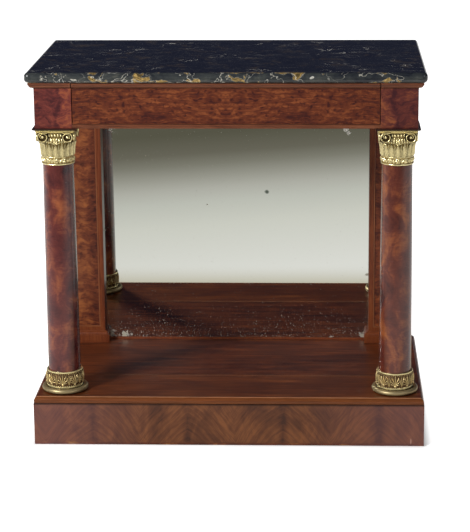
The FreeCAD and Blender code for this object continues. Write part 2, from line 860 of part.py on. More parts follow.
def make_capitals():
    """Cast gilt capitals: a leafed bell under four scrolled faces."""
    top = frieze_bottom - abacus_thickness
    band_low = top - capital_band_height
    zone_low = band_low - volute_zone_height
    bottom = top - capital_height
    bore = sleeve_radius(bottom)
    bell_radius = bore + capital_wall
    rim = bell_radius + bell_rim_projection
    band = bell_radius + bell_band_projection
    rim_top = bottom + bell_rim_height
    band_top = rim_top + bell_band_height
    half = capital_width / 2
    face = half - volute_relief
    volute_z = band_low - volute_radius + volute_relief
    echinus = bell_top_radius + echinus_projection

    bell = turned([(rim, bottom), (rim, rim_top),
                   (band, rim_top), (band, band_top),
                   (bell_radius, band_top), (bell_top_radius, zone_low),
                   (echinus, zone_low), (echinus, band_low),
                   (bore, band_low), (bore, bottom)],
                  column_x, column_y)
    head = span_box(column_x - half, column_x + half, column_y - half,
                    column_y + half, band_low, top)
    pieces = [head]
    for turn in range(4):
        quarter = []
        for hand in (-1, 1):
            x = column_x + hand * volute_spread
            disc = Part.makeCylinder(volute_radius, volute_thickness,
                                     V(x, column_y - face, volute_z),
                                     V(0, 1, 0))
            quarter.append(disc)
            quarter += volute(column_y - face, x, volute_z, hand)
        cushion_low = volute_z - volute_radius * volute_cushion_share
        corner = span_box(column_x + volute_spread, column_x + face,
                          column_y - face, column_y - volute_spread,
                          cushion_low, band_low)
        quarter.append(corner)
        for piece in quarter:
            piece.rotate(V(column_x, column_y, 0), V(0, 0, 1), 90 * turn)
            pieces.append(piece)
    capital = bell.fuse(pieces)
    sleeve = cylinder(bore, bottom - OVERCUT, top + OVERCUT,
                      column_x, column_y)
    save_pair("capitals", capital.cut(sleeve).removeSplitter())

    abacus = span_box(column_x - abacus_width / 2,
                      column_x + abacus_width / 2,
                      column_y - abacus_width / 2,
                      column_y + abacus_width / 2, top, frieze_bottom)
    low_edges = [e for e in abacus.Edges
                 if abs(e.BoundBox.ZMax - top) < NEAR]
    abacus = abacus.makeChamfer(abacus_chamfer, low_edges)
    hole = cylinder(bore_radius, top - OVERCUT, frieze_bottom + OVERCUT,
                    column_x, column_y)
    save_pair("capital_abaci", abacus.cut(hole))


def make_bases():
    """Cast gilt bases: a swelling collar on a round torus."""
    low = platform_top
    torus_top = low + torus_height
    top = torus_top + collar_height
    bore = sleeve_radius(low)
    bead = collar_foot_radius + collar_bead_projection
    half = torus_height / 2

    ring = []
    for i in range(torus_steps + 1):
        angle = math.pi * (i / torus_steps - 0.5)
        ring.append((torus_radius - half + half * math.cos(angle),
                     low + half + half * math.sin(angle)))
    ring += [(bead, torus_top - torus_hollow), (bead, torus_top),
             (bore, torus_top), (bore, low)]
    save_pair("base_tori", turned(ring, column_x, column_y))

    foot_z = torus_top + collar_bead
    rim_z = top - collar_bead
    swell_z = foot_z + collar_swell_share * (rim_z - foot_z)
    collar = turned([(bead, torus_top), (bead, foot_z),
                     (collar_foot_radius, foot_z),
                     (collar_swell_radius, swell_z),
                     (collar_rim_radius - collar_bead_projection, rim_z),
                     (collar_rim_radius, rim_z), (collar_rim_radius, top),
                     (bore, top), (bore, torus_top)],
                    column_x, column_y)
    save_pair("base_collars", collar)


# ============================================================== the marble
def make_marble():
    """A polished slab, rounded on its front and sides, square at the wall."""
    half = half_frieze + marble_overhang
    front = frieze_front_y - marble_overhang
    slab = span_box(-half, half, front, wall_y, marble_bottom, table_top)
    corners = [e for e in slab.Edges
               if e.BoundBox.ZLength > marble_thickness / 2
               and e.CenterOfMass.y < 0]
    slab = slab.makeFillet(marble_corner_radius, corners)
    edges = []
    for edge in slab.Edges:
        box = edge.BoundBox
        flat = box.ZLength < NEAR
        at_wall = box.YMin > wall_y - NEAR
        if flat and not at_wall:
            edges.append(edge)
    save("marble_top", slab.makeFillet(marble_edge_radius, edges))


make_plinth()
make_platform()
make_posts()
make_mirror()
make_frieze()
make_drawer()
make_shafts()
make_capitals()
make_bases()
make_marble()
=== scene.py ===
"""Pier table: mahogany, gilt mounts, black and gold marble, looking glass."""
import json
import math

import bmesh
import bpy
from mathutils import Matrix, Vector


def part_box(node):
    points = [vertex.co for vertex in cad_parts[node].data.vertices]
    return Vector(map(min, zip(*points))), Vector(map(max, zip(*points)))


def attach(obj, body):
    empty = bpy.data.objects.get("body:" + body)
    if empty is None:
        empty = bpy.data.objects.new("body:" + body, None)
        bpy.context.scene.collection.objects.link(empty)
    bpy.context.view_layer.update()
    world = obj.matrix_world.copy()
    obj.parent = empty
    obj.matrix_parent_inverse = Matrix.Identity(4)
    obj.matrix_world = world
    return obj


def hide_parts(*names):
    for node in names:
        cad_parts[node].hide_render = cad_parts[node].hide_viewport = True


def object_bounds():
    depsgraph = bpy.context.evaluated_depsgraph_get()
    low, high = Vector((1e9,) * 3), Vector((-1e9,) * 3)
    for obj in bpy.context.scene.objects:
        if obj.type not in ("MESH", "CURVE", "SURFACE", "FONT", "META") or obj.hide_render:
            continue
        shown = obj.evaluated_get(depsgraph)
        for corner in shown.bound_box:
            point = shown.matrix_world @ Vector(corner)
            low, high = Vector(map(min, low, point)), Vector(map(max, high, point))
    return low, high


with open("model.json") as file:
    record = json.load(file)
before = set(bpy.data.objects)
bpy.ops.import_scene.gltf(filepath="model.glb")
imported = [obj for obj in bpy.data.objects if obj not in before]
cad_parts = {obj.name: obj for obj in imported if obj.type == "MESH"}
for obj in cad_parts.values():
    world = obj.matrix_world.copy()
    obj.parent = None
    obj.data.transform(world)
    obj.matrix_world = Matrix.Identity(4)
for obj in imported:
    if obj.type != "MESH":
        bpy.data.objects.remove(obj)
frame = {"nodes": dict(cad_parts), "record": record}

# The box of the solids alone, taken before any piece stands in for one.
cad_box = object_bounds()


# ------------------------------------------------------------ plinth boards
# Four softwood boards nailed and glued into a low box.  The three that show
# are faced with crotch mahogany, cut where a branch leaves the trunk, laid in
# matching leaves so that its feathers rise and fall along the front.
def linear(code):
    """An sRGB hex colour as the linear colour that a shader works in."""
    parts = [int(code[i:i + 2], 16) / 255 for i in (1, 3, 5)]
    flat = [p / 12.92 if p <= 0.04045 else ((p + 0.055) / 1.055) ** 2.4
            for p in parts]
    return (*flat, 1.0)


def feed(made, inputs):
    """Feeds a node's sockets, each with a plain value or with another socket."""
    for key, value in inputs.items():
        if isinstance(value, bpy.types.NodeSocket):
            made.id_data.links.new(value, made.inputs[key])
        else:
            made.inputs[key].default_value = value


def node(tree, kind, *values, out=None, stops=(), inputs=None, **settings):
    """Adds a node with its settings and links, and returns one of its outputs.

    kind is its type, less ShaderNode, and may end in its operation.  values
    feed the sockets in use, in order, inputs feeds sockets by name, and stops
    are a ramp's (place, hex colour).
    """
    kind, _, operation = kind.partition(" ")
    if operation:
        settings["operation"] = operation
    made = tree.nodes.new(kind if "Node" in kind else "ShaderNode" + kind)
    for name, value in settings.items():
        setattr(made, name, value)
    stops = list(stops)
    while stops and len(made.color_ramp.elements) < len(stops):
        made.color_ramp.elements.new(0.5)
    for i, (place, code) in enumerate(stops):
        made.color_ramp.elements[i].position = place
        made.color_ramp.elements[i].color = linear(code)
    live = [key for key, socket in enumerate(made.inputs) if socket.enabled]
    feed(made, dict(zip(live, values)))
    feed(made, inputs or {})
    return made.outputs[out] if out else next((s for s in made.outputs if s.enabled), None)


def new_material(name):
    """An empty surface: its node tree, its shader and where each point lies."""
    surface = bpy.data.materials.new(name)
    surface.use_nodes = True
    tree = surface.node_tree
    return surface, tree, tree.nodes["Principled BSDF"], node(tree, "TexCoord", out="Object")


def weighted(tree, *parts):
    """The sum of several (share, value)."""
    total = 0.0
    for share, value in parts:
        total = node(tree, "Math MULTIPLY_ADD", value, share, total)
    return total


def contrasted(tree, value, gain, middle=0.5, onto=0.5, **settings):
    """A value's distance from the middle, times gain, laid onto another."""
    off = node(tree, "Math SUBTRACT", value, middle)
    return node(tree, "Math MULTIPLY_ADD", off, gain, onto, **settings)


def sized(along, pair):
    """Sizes along X, Y and Z: the first with the grain, the second across it."""
    return [pair[0] if axis == along else pair[1] for axis in "XYZ"]


def grain_noise(tree, place, size_mm, detail=3.0, rough=0.55, warp=0.0, seed=0.0):
    """Noise whose cells measure size_mm along X, Y and Z."""
    spread = node(tree, "Mapping", place, (seed, seed * 0.7, seed * 1.3), (0.0, 0.0, 0.0),
                  [1000.0 / size for size in size_mm])
    return node(tree, "TexNoise", spread, 1.0, detail, rough, inputs={"Distortion": warp})


def polish(tree, shader, colour, relief, gloss, coat):
    """French polish: shellac rubbed into the wood until the pores close."""
    bump = node(tree, "Bump", inputs={"Strength": 0.12, "Distance": 0.0004, "Height": relief})
    rough = node(tree, "MapRange", relief, 0.0, 1.0, gloss - 0.05, gloss + 0.07)
    feed(shader, {"Base Color": colour, "Normal": bump, "Roughness": rough,
                  "Specular IOR Level": 0.3, "Coat Weight": coat,
                  "Coat Roughness": 0.16, "Coat IOR": 1.5})


def mahogany(name, tones, along, mottle, mottle_share, streak, seed, gloss=0.32, coat=0.15):
    """French polished mahogany with its grain along one axis.

    tones are dark, middle and light; mottle and streak are sizes in
    millimetres, with the grain and across it.
    """
    surface, tree, shader, place = new_material(name)
    wander = grain_noise(tree, place, sized(along, (220, 90)), 2, 0.5, 0.6, seed + 4)
    streaks = grain_noise(tree, place, sized(along, streak), 4, 0.6, 0.5, seed)
    clouds = grain_noise(tree, place, sized(along, mottle), 3, 0.55, 1.6, seed + 9)
    pores = grain_noise(tree, place, sized(along, (14, 0.9)), 2, 0.5, 0.0, seed)
    lines = weighted(tree, (0.65, streaks), (0.35, wander))
    depth = node(tree, "Mix", mottle_share, lines, clouds)
    colour = node(tree, "ValToRGB", contrasted(tree, depth, 2.6, use_clamp=True),
                  stops=zip((0.08, 0.5, 0.95), tones))
    dash = node(tree, "MapRange", pores, 0.60, 0.72, 0.0, 0.35)
    colour = node(tree, "Mix", dash, colour, linear("#6b4a3c"), data_type="RGBA",
                  blend_type="MULTIPLY")
    polish(tree, shader, colour, pores, gloss, coat)
    return surface


def crotch_mahogany(name, tones):
    """Crotch veneer: feathers that fall away from dark stems, leaf by leaf."""
    leaf = 0.1165
    first_stem = 0.1
    steepness = 1.15
    band_mm = 16.0
    sway = 0.02
    surface, tree, shader, place = new_material(name)
    wobble = node(tree, "TexNoise", place, 11.0, 2.0, 0.5, out="Color")
    shift = node(tree, "VectorMath MULTIPLY_ADD", wobble, (sway, sway, sway), place)
    across = node(tree, "SeparateXYZ", shift, out="X")
    height = node(tree, "SeparateXYZ", shift, out="Z")
    from_first = node(tree, "Math ADD", across, first_stem - sway / 2)
    off_stem = node(tree, "Math PINGPONG", from_first, leaf)
    arch = node(tree, "Math POWER", node(tree, "Math MULTIPLY", off_stem, 1 / leaf), 1.3)
    rise = node(tree, "Math MULTIPLY_ADD", arch, leaf * steepness, height)
    run = node(tree, "Math MULTIPLY_ADD", height, -0.5, off_stem)

    def feather(scale, seed):
        """Noise drawn out along the feathers."""
        laid = node(tree, "CombineXYZ", node(tree, "Math MULTIPLY", rise, 1000 * scale / band_mm),
                    node(tree, "Math MULTIPLY", run, 130 * scale / band_mm), seed)
        return node(tree, "TexNoise", laid, 1.0, 2.0, 0.55, inputs={"Distortion": 0.2})

    curls = weighted(tree, (0.65, feather(1.0, 3.0)), (0.35, feather(4.0, 7.0)))
    patches = grain_noise(tree, place, (50, 50, 80), 3, 0.6, 1.0, 5.0)
    tone = weighted(tree, (0.55, curls), (0.45, patches))
    near_stem = node(tree, "MapRange", off_stem, 0.0, 0.015, 0.30, 0.0)
    broken = node(tree, "Math MULTIPLY", grain_noise(tree, place, (7, 7, 22), 3, 0.6), 2.2)
    near_stem = node(tree, "Math MULTIPLY", near_stem, broken)
    depth = node(tree, "Math SUBTRACT", contrasted(tree, tone, 3.0), near_stem, use_clamp=True)
    colour = node(tree, "ValToRGB", depth, stops=zip((0.05, 0.5, 0.95), tones))
    pores = grain_noise(tree, place, (1.0, 1.0, 14.0), 2, 0.5)
    polish(tree, shader, colour, pores, 0.34, 0.12)
    return surface


def placed(name, data):
    """A mesh, lamp or camera as an object in the scene."""
    thing = bpy.data.objects.new(name, data)
    bpy.context.scene.collection.objects.link(thing)
    return thing


def smooth_piece(name, points, faces, crisp, outwards=False):
    """A smooth-shaded mesh object; edges over crisp degrees stay sharp."""
    mesh = bpy.data.meshes.new(name)
    mesh.from_pydata(points, [], faces)
    if outwards:
        shape = bmesh.new()
        shape.from_mesh(mesh)
        bmesh.ops.recalc_face_normals(shape, faces=shape.faces)
        shape.to_mesh(mesh)
        shape.free()
    mesh.shade_smooth()
    mesh.set_sharp_from_angle(angle=math.radians(crisp))
    return placed(name, mesh)


def soft_copy(node_name, softness, crisp):
    """A CAD part with its arrises rubbed down, which stands for that part."""
    shape = bmesh.new()
    shape.from_mesh(frame["nodes"][node_name].data)
    bmesh.ops.remove_doubles(shape, verts=shape.verts, dist=0.00002)
    bmesh.ops.dissolve_limit(shape, angle_limit=math.radians(1.0),
                             verts=shape.verts, edges=shape.edges)
    shape.verts.index_update()
    points = [tuple(v.co) for v in shape.verts]
    faces = [[v.index for v in f.verts] for f in shape.faces]
    shape.free()
    piece = smooth_piece(node_name + "_soft", points, faces, crisp)
    if softness:
        arris = piece.modifiers.new("arris", "BEVEL")
        arris.width = softness
        arris.segments = 2
        arris.limit_method = "ANGLE"
        arris.angle_limit = math.radians(crisp)
    weigh = piece.modifiers.new("weigh", "WEIGHTED_NORMAL")
    weigh.keep_sharp = True
    return piece


def body_of(node_name):
    """The CAD body that a node belongs to."""
    for body, members in frame["record"]["behaviour"]["bodies"].items():
        if node_name in members:
            return body


def dress(node_name, surface, softness=0.0008, crisp=35.0):
    """Puts a softened copy in the place of a CAD part and finishes it."""
    piece = soft_copy(node_name, softness, crisp)
    piece.data.materials.append(surface)
    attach(piece, body_of(node_name))
    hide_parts(node_name)


def scuffed(surface, height, top, chip):
    """Wear along the foot of a polished face, one chip, a paler pinker tone towards both ends,
    and a painted shadow: a dark band just under its top.
    """
    tree = surface.node_tree
    shader = tree.nodes["Principled BSDF"]
    layered = shader.inputs["Base Color"].links[0].from_socket
    place = node(tree, "TexCoord", out="Object")
    above = node(tree, "SeparateXYZ", place, out="Z")
    beside = node(tree, "Math ABSOLUTE", node(tree, "SeparateXYZ", place, out="X"))
    ragged = node(tree, "Math MULTIPLY_ADD", grain_noise(tree, place, (8, 8, 8), 3, 0.6),
                  0.006, above)
    wood = node(tree, "ValToRGB", grain_noise(tree, place, (45, 45, 20), 3, 0.6), stops=[
        (0.42, "#3f1a12"), (0.58, "#5f2c1a"), (0.70, "#9a6a33")])
    off = node(tree, "VectorMath SUBTRACT", place, chip)
    off = node(tree, "VectorMath MULTIPLY", off, (500.0, 0.0, 130.0))
    # The last band is painted shadow, the shade that the platform's moulding casts on the top of
    # the face.
    for value, start, end, least, most, tone in (
            (ragged, height, height + 0.003, 0.75, 0.0, wood),
            (node(tree, "VectorMath LENGTH", off), 0.7, 1.1, 0.8, 0.0, linear("#b08a76")),
            (beside, 0.18, 0.44, 0.0, 0.30, linear("#845a5c")),
            (above, top - 0.0050, top - 0.0020, 0.0, 0.7, linear("#1d0f0a"))):
        share = node(tree, "MapRange", value, start, end, least, most)
        layered = node(tree, "Mix", share, layered, tone, data_type="RGBA")
    feed(shader, {"Base Color": layered})


plinth_low, plinth_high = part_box("plinth_front")

feathered = crotch_mahogany("crotch mahogany, french polished",
                            ("#3d221b", "#5c3521", "#7a4a2b"))
# The plinth front: wear at its foot, a chip, and a painted shadow under its top.
scuffed(feathered, 0.008, plinth_high.z, (0.445, plinth_low.y, 0.012))
dress("plinth_front", feathered)
plinth_side_wood = mahogany("plinth side veneer, polished", ("#3c2118", "#5b3522", "#71452b"),
                            "Z", (70, 22), 0.6, (120, 7), 2.0)
dress("plinth_side_left", plinth_side_wood)
dress("plinth_side_right", plinth_side_wood)


# --------------------------------------------------- pine inside the plinth
# Back board, cross brace and glue blocks of scots pine, straight from the
# saw and plane, rubbed in with hot glue and never polished.
def planed_pine(name, tones, along, seed=0.0):
    """Dry planed softwood: even summer and winter rings, no polish."""
    surface, tree, shader, place = new_material(name)
    rings = grain_noise(tree, place, sized(along, (400, 9)), 2, 0.5, 0.8, seed)
    fibres = grain_noise(tree, place, sized(along, (60, 1.2)), 2, 0.5, 0.0, seed)
    depth = weighted(tree, (0.7, rings), (0.3, fibres))
    colour = node(tree, "ValToRGB", depth, stops=zip((0.30, 0.5, 0.68), tones))
    bump = node(tree, "Bump", inputs={"Strength": 0.3, "Distance": 0.0003, "Height": fibres})
    feed(shader, {"Base Color": colour, "Normal": bump, "Roughness": 0.75})
    return surface


old_pine = ("#7a5432", "#a07648", "#b78d5e")
pine_x = planed_pine("planed pine, grain along the table", old_pine, "X")
pine_y = planed_pine("planed pine, grain front to back", old_pine, "Y", 5.0)
pine_z = planed_pine("planed pine, grain upright", old_pine, "Z", 8.0)
dress("plinth_back", pine_x, 0.001)
dress("plinth_brace", pine_y, 0.001)
dress("plinth_glue_blocks", pine_x, 0.0)
dress("plinth_corner_blocks", pine_z, 0.0)


# -------------------------------------------------------- the platform
# Two mahogany boards edge-glued into the shelf that the columns stand on.
# The joint runs the whole length, and an ovolo is run round front and ends.
def worn_lines(surface, places, width, tone):
    """Lines of a tone across the table, broken by noise: paler ones are painted highlights along
    an arris, a dark one marks a joint.
    """
    tree = surface.node_tree
    shader = tree.nodes["Principled BSDF"]
    layered = shader.inputs["Base Color"].links[0].from_socket
    place = node(tree, "TexCoord", out="Object")
    depth = node(tree, "SeparateXYZ", place, out="Y")
    breaks = grain_noise(tree, place, (40, 4, 4), 3, 0.6)
    for line in places:
        off = node(tree, "Math ABSOLUTE", node(tree, "Math SUBTRACT", depth, line))
        share = node(tree, "MapRange", off, width / 2, width, 1.3, 0.0)
        share = node(tree, "Math MULTIPLY", share, breaks)
        layered = node(tree, "Mix", share, layered, linear(tone), data_type="RGBA")
    feed(shader, {"Base Color": layered})


joint_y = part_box("platform_front_board")[1].y
arris_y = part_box("platform_front_board")[0].y + 0.008
front_board = mahogany("platform board, front, polished", ("#33140a", "#5b2b11", "#85471d"),
                       "X", (170, 20), 0.45, (380, 8), 1.0, 0.30, 0.20)
rear_board = mahogany("platform board, rear, polished", ("#220b07", "#542610", "#824321"),
                      "X", (190, 24), 0.50, (380, 9), 6.0, 0.30, 0.20)
# Painted highlights: pale lines along the ovolo's top arris and along the front board's edge at
# the joint.
worn_lines(front_board, (joint_y - 0.0012, arris_y), 0.0016, "#b98560")
# Painted light: the ovolo along the front is coloured paler, as a face lit by the front lamps.
worn_lines(front_board, (arris_y - 0.0046,), 0.0048, "#71401f")
worn_lines(rear_board, (joint_y + 0.0008,), 0.0010, "#25100a")
dress("platform_front_board", front_board, 0.0006, 25.0)
dress("platform_rear_board", rear_board, 0.0006, 25.0)


# ------------------------------------------------- rear posts and pilasters
# Square posts carry the back of the frieze.  Each is faced as a pilaster:
# a flat border round a sunk field of crotch veneer, on a moulded base.
post_wood = mahogany("rear post, polished", ("#32160d", "#4e2616", "#65361f"),
                     "Z", (80, 18), 0.4, (260, 6), 3.0)
border_wood = mahogany("pilaster border, polished", ("#441d0e", "#673119", "#7d4423"),
                       "Z", (90, 10), 0.35, (260, 5), 5.0)


def flamed_mahogany(name, tones, curl_mm, mottle_mm, hair_mm, warp_mm, contrast, seed, shares,
                    plums=0.0, stem=None, gloss=0.34, coat=0.12):
    """Figured veneer: soft curls, a broken mottle and fine hairlines of grain.

    The three sizes are in millimetres along X, Y and Z, and shares says how
    much of each shows; warp_mm is how far the figure is pulled about; plums
    are small dark spots; stem is (x, breadth, darkness, flank), an upright
    dark stem whose inner flank is paler.
    """
    surface, tree, shader, place = new_material(name)
    x, y, z = [node(tree, "SeparateXYZ", place, out=axis) for axis in "XYZ"]
    matched = node(tree, "CombineXYZ", node(tree, "Math ABSOLUTE", x), y, z)
    pull = node(tree, "TexNoise", matched, 700.0 / max(curl_mm), 3.0, out="Color")
    warp = warp_mm / 1000
    bent = node(tree, "VectorMath MULTIPLY_ADD", pull, (warp, warp, warp), matched)
    curls = grain_noise(tree, bent, curl_mm, 3, 0.5, 0.4, seed)
    mottle = grain_noise(tree, bent, mottle_mm, 5, 0.66, 0.4, seed + 7)
    hairs = grain_noise(tree, bent, hair_mm, 3, 0.6, 0.3, seed + 3)
    depth = weighted(tree, *zip(shares, (curls, mottle, hairs)))
    depth = contrasted(tree, depth, 2 * contrast, sum(shares) / 2)
    if stem:
        stem_x, breadth, darkness, flank = stem
        off = node(tree, "Math SUBTRACT", node(tree, "SeparateXYZ", bent, out="X"),
                   stem_x + warp / 2)
        near = node(tree, "MapRange", node(tree, "Math ABSOLUTE", off), 0.0, breadth,
                    darkness, 0.0, interpolation_type="SMOOTHSTEP")
        lean = node(tree, "MapRange", off, -breadth, breadth, flank, -flank,
                    interpolation_type="SMOOTHSTEP")
        depth = node(tree, "Math ADD", node(tree, "Math SUBTRACT", depth, near), lean)
    if plums:
        spots = grain_noise(tree, matched, (13, 13, 8), 1, 0.5, 0.3, seed + 2)
        spots = node(tree, "MapRange", spots, 0.56, 0.72, 0.0, plums,
                     interpolation_type="SMOOTHSTEP")
        depth = node(tree, "Math SUBTRACT", depth, spots)
    colour = node(tree, "ValToRGB", node(tree, "Math MAXIMUM", depth, 0.0, use_clamp=True),
                  stops=zip((0.0, 0.5, 1.0), tones))
    pore_mm = [14.0 if size == max(hair_mm) else 1.0 for size in hair_mm]
    polish(tree, shader, colour, grain_noise(tree, place, pore_mm, 2, 0.5), gloss, coat)
    return surface


panel_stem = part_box("pilaster_panel_right")[0].x + 0.012
# One veneer in two tones: the right field is coloured lighter to make up for the shade on it and
# the left a little darker, which paints light and shade into them.
panel_tones_shade_evened = {"left": ("#341310", "#602e1a", "#894e28"),
               "right": ("#3b1713", "#6c351e", "#99572e")}
for side, seed in (("left", 5.0), ("right", 19.0)):
    panel_wood = flamed_mahogany("pilaster field, crotch veneer, " + side,
                                 panel_tones_shade_evened[side], (36, 24, 15), (14, 14, 8),
                                 (16, 12, 2.2), 46, 1.7, seed, (0.44, 0.34, 0.22), 0.25,
                                 (panel_stem, 0.018, 0.14, -0.16))
    dress("rear_post_" + side, post_wood)
    dress("pilaster_border_" + side, border_wood, 0.0009)
    dress("pilaster_panel_" + side, panel_wood)
    dress("pilaster_base_" + side, border_wood, 0.0006, 25.0)


def quads(rings, met=False, shut=True):
    """Faces between rings of points; met joins the last ring to the first."""
    around = len(rings[0])
    faces = []
    for row in range(len(rings) if met else len(rings) - 1):
        here = row * around
        there = (row + 1) % len(rings) * around
        for i in range(around if shut else around - 1):
            j = (i + 1) % around
            faces.append((here + i, here + j, there + j, there + i))
    return faces


def skin(name, rings, ends="capped", crisp=30.0):
    """A closed skin over rings of points; its ends are capped, open or met."""
    points = [point for ring in rings for point in ring]
    count = len(points)
    around = len(rings[0])
    faces = quads(rings, met=ends == "met")
    if ends == "capped":
        faces = [tuple(range(around)), tuple(range(count - around, count))] + faces
    return smooth_piece(name, points, faces, crisp, outwards=True)


def cock_bead(name, low, high, face, width, relief):
    """A thin half-round strip, mitred round a sunk field on a front face."""
    steps = 6
    rings = []
    for x, z, dx, dz in ((low.x, low.z, 1, 1), (high.x, low.z, -1, 1),
                         (high.x, high.z, -1, -1), (low.x, high.z, 1, -1)):
        ring = []
        for i in range(steps + 1):
            angle = math.pi * i / steps
            inset = width / 2 * (1 - math.cos(angle))
            ring.append((x + dx * inset, face - relief * math.sin(angle), z + dz * inset))
        rings.append(ring)
    return skin(name, rings, "met")


# A stringing of paler wood is let in round each field, proud by a hair.
stringing = mahogany("pilaster stringing, pale mahogany", ("#5f3520", "#7d4c2c", "#94603a"),
                     "Z", (60, 5), 0.3, (160, 4), 9.0)
for side in ("left", "right"):
    low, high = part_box("pilaster_panel_" + side)
    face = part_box("pilaster_border_" + side)[0].y
    strip = 0.0016
    proud = 0.0005
    grow = Vector((0.003, 0.0, 0.003))
    edging = cock_bead("pilaster_bead_" + side, low - grow, high + grow, face, strip, proud)
    edging.data.materials.append(stringing)
    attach(edging, "case")


# ---------------------------------------------------------- looking glass
# One plate of tin-mercury silvered glass in the posts' rebates.  The amalgam
# has crept and spotted at the corners and along the foot.
def looking_glass(name, front, stains, marks, lean):
    """Silvered glass that leans forward by the slope lean, by its shading alone.

    front is where it faces, stains holds (x, z, radius) of each foxed patch,
    and marks holds (x, z, core, rim, tone, bare) of each spot where the silver
    is stained or gone.
    """
    surface, tree, shader, place = new_material(name)
    lace = node(tree, "TexNoise", place, 130.0, 4.0, 0.7)
    drift = node(tree, "TexNoise", place, 40.0, 2.0)

    def away_from(x, z):
        """How far each point lies from a spot on the glass."""
        return node(tree, "VectorMath DISTANCE", place, (x, front, z))

    layered = 0.0
    for x, z, radius in stains:
        patch = node(tree, "MapRange", away_from(x, z), 0.0, radius, 0.5, 0.0)
        layered = node(tree, "Math MAXIMUM", patch, layered)
    fox = node(tree, "Math ADD", layered, node(tree, "Math MULTIPLY", drift, 0.5))
    fox = node(tree, "Math ADD", fox, node(tree, "Math SUBTRACT", lace, 1.08))
    fox = node(tree, "MapRange", fox, 0.0, 0.12)
    above = node(tree, "SeparateXYZ", place, out="Z")
    foot = node(tree, "MapRange", above, 0.12, 0.23, 0.12, 0.0)
    specks = node(tree, "Math ADD", node(tree, "TexNoise", place, 380.0, 1.0), foot)
    specks = contrasted(tree, specks, 14.0, 0.76, 0.0, use_clamp=True)
    fox = node(tree, "Math MAXIMUM", fox, specks)
    colour = node(tree, "Mix", fox, linear("#e4e8e2"), linear("#b2ad9c"), data_type="RGBA")
    for x, z, core, rim, tone, bare in marks:
        gap = node(tree, "Math MULTIPLY_ADD", lace, 0.006, away_from(x, z))
        share = node(tree, "MapRange", gap, core, rim, 1.0, 0.0)
        colour = node(tree, "Mix", share, colour, linear(tone), data_type="RGBA")
        fox = node(tree, "Math MAXIMUM", fox, node(tree, "Math MULTIPLY", share, bare))
    square = node(tree, "NewGeometry", out="Normal")
    leaning = node(tree, "VectorMath ADD", square, (0.0, 0.0, -lean))
    feed(shader, {"Base Color": colour,
                  "Metallic": node(tree, "Math MULTIPLY_ADD", fox, -0.8, 1.0),
                  "Roughness": node(tree, "Math MULTIPLY_ADD", fox, 0.45, 0.015),
                  "Normal": node(tree, "VectorMath NORMALIZE", leaning)})
    return surface


glass_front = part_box("mirror_glass")[0].y
foxed_glass = looking_glass("silvered glass, foxed", glass_front, [
    (-0.346, 0.130, 0.045), (-0.335, 0.735, 0.050), (-0.325, 0.700, 0.030),
    (0.349, 0.130, 0.036), (0.313, 0.742, 0.050), (0.335, 0.128, 0.026),
    (-0.075, 0.490, 0.005), (-0.300, 0.126, 0.034), (-0.250, 0.124, 0.020),
    (-0.150, 0.122, 0.014), (0.100, 0.122, 0.012), (0.250, 0.124, 0.020),
    (0.348, 0.300, 0.010), (-0.347, 0.420, 0.012)], [
        (0.0822, 0.5245, 0.0058, 0.0100, "#69736a", 0.0),
        (0.2890, 0.6920, 0.0055, 0.0120, "#fbf8f0", 1.0),
        (0.2960, 0.6820, 0.0045, 0.0095, "#fbf8f0", 0.9)], 0.02)
dress("mirror_glass", foxed_glass, 0.0005)
dress("mirror_slip", border_wood, 0.0)
dress("mirror_head_rail", pine_x)
dress("mirror_backboards", pine_x, 0.0012)


def repeat_tree(name, kinds):
    """An empty tree of Geometry Nodes: its named inputs and their keys."""
    tree = bpy.data.node_groups.new(name, "GeometryNodeTree")
    keys = {label: tree.interface.new_socket(label, in_out="INPUT", socket_type=kind).identifier
            for label, kind in kinds.items()}
    tree.interface.new_socket("Geometry", in_out="OUTPUT", socket_type="NodeSocketGeometry")
    return tree, tree.nodes.new("NodeGroupInput").outputs, keys


def stand_copies(tree, points, motif, turn, surface):
    """Ends a tree: the motif on every point, made real, in one finish."""
    shape = node(tree, "GeometryNodeObjectInfo", motif, out="Geometry")
    stood = node(tree, "GeometryNodeInstanceOnPoints", inputs={
        "Points": points, "Instance": shape, "Rotation": turn})
    real = node(tree, "GeometryNodeRealizeInstances", stood)
    faced = node(tree, "GeometryNodeSetMaterial", real, inputs={"Material": surface})
    node(tree, "NodeGroupOutput", faced)


def baked(name, tree, keys, values):
    """The plain mesh that a tree makes; its motif is used up."""
    carrier = placed(name + "_carrier", bpy.data.meshes.new(name))
    maker = carrier.modifiers.new("repeat", "NODES")
    maker.node_group = tree
    for label, value in values.items():
        maker[keys[label]] = value
    graph = bpy.context.evaluated_depsgraph_get()
    mesh = bpy.data.meshes.new_from_object(carrier.evaluated_get(graph))
    bpy.data.objects.remove(carrier)
    bpy.data.objects.remove(values["Motif"])
    return mesh


def joined(name, pieces):
    """One mesh object from several that have the same finishes."""
    shape = bmesh.new()
    mesh = bpy.data.meshes.new(name)
    for surface in pieces[0].data.materials:
        mesh.materials.append(surface)
    for piece in pieces:
        shape.from_mesh(piece.data)
        bpy.data.objects.remove(piece)
    shape.to_mesh(mesh)
    shape.free()
    return placed(name, mesh)


def screw_head(name):
    """A filed steel screw head with its slot, facing backwards."""
    radius = 0.0042
    slot = 0.0005
    sunk, proud = -0.0006, 0.0008
    halves = []
    for hand in (-1, 1):
        turns = [math.pi * i / 10 for i in range(11)]
        rim = [(radius * math.cos(turn), slot + (radius - slot) * math.sin(turn))
               for turn in turns]
        halves.append(skin(name + "_half", [[(x, depth, hand * z) for x, z in rim]
                                            for depth in (sunk, proud)]))
    return joined(name, halves)


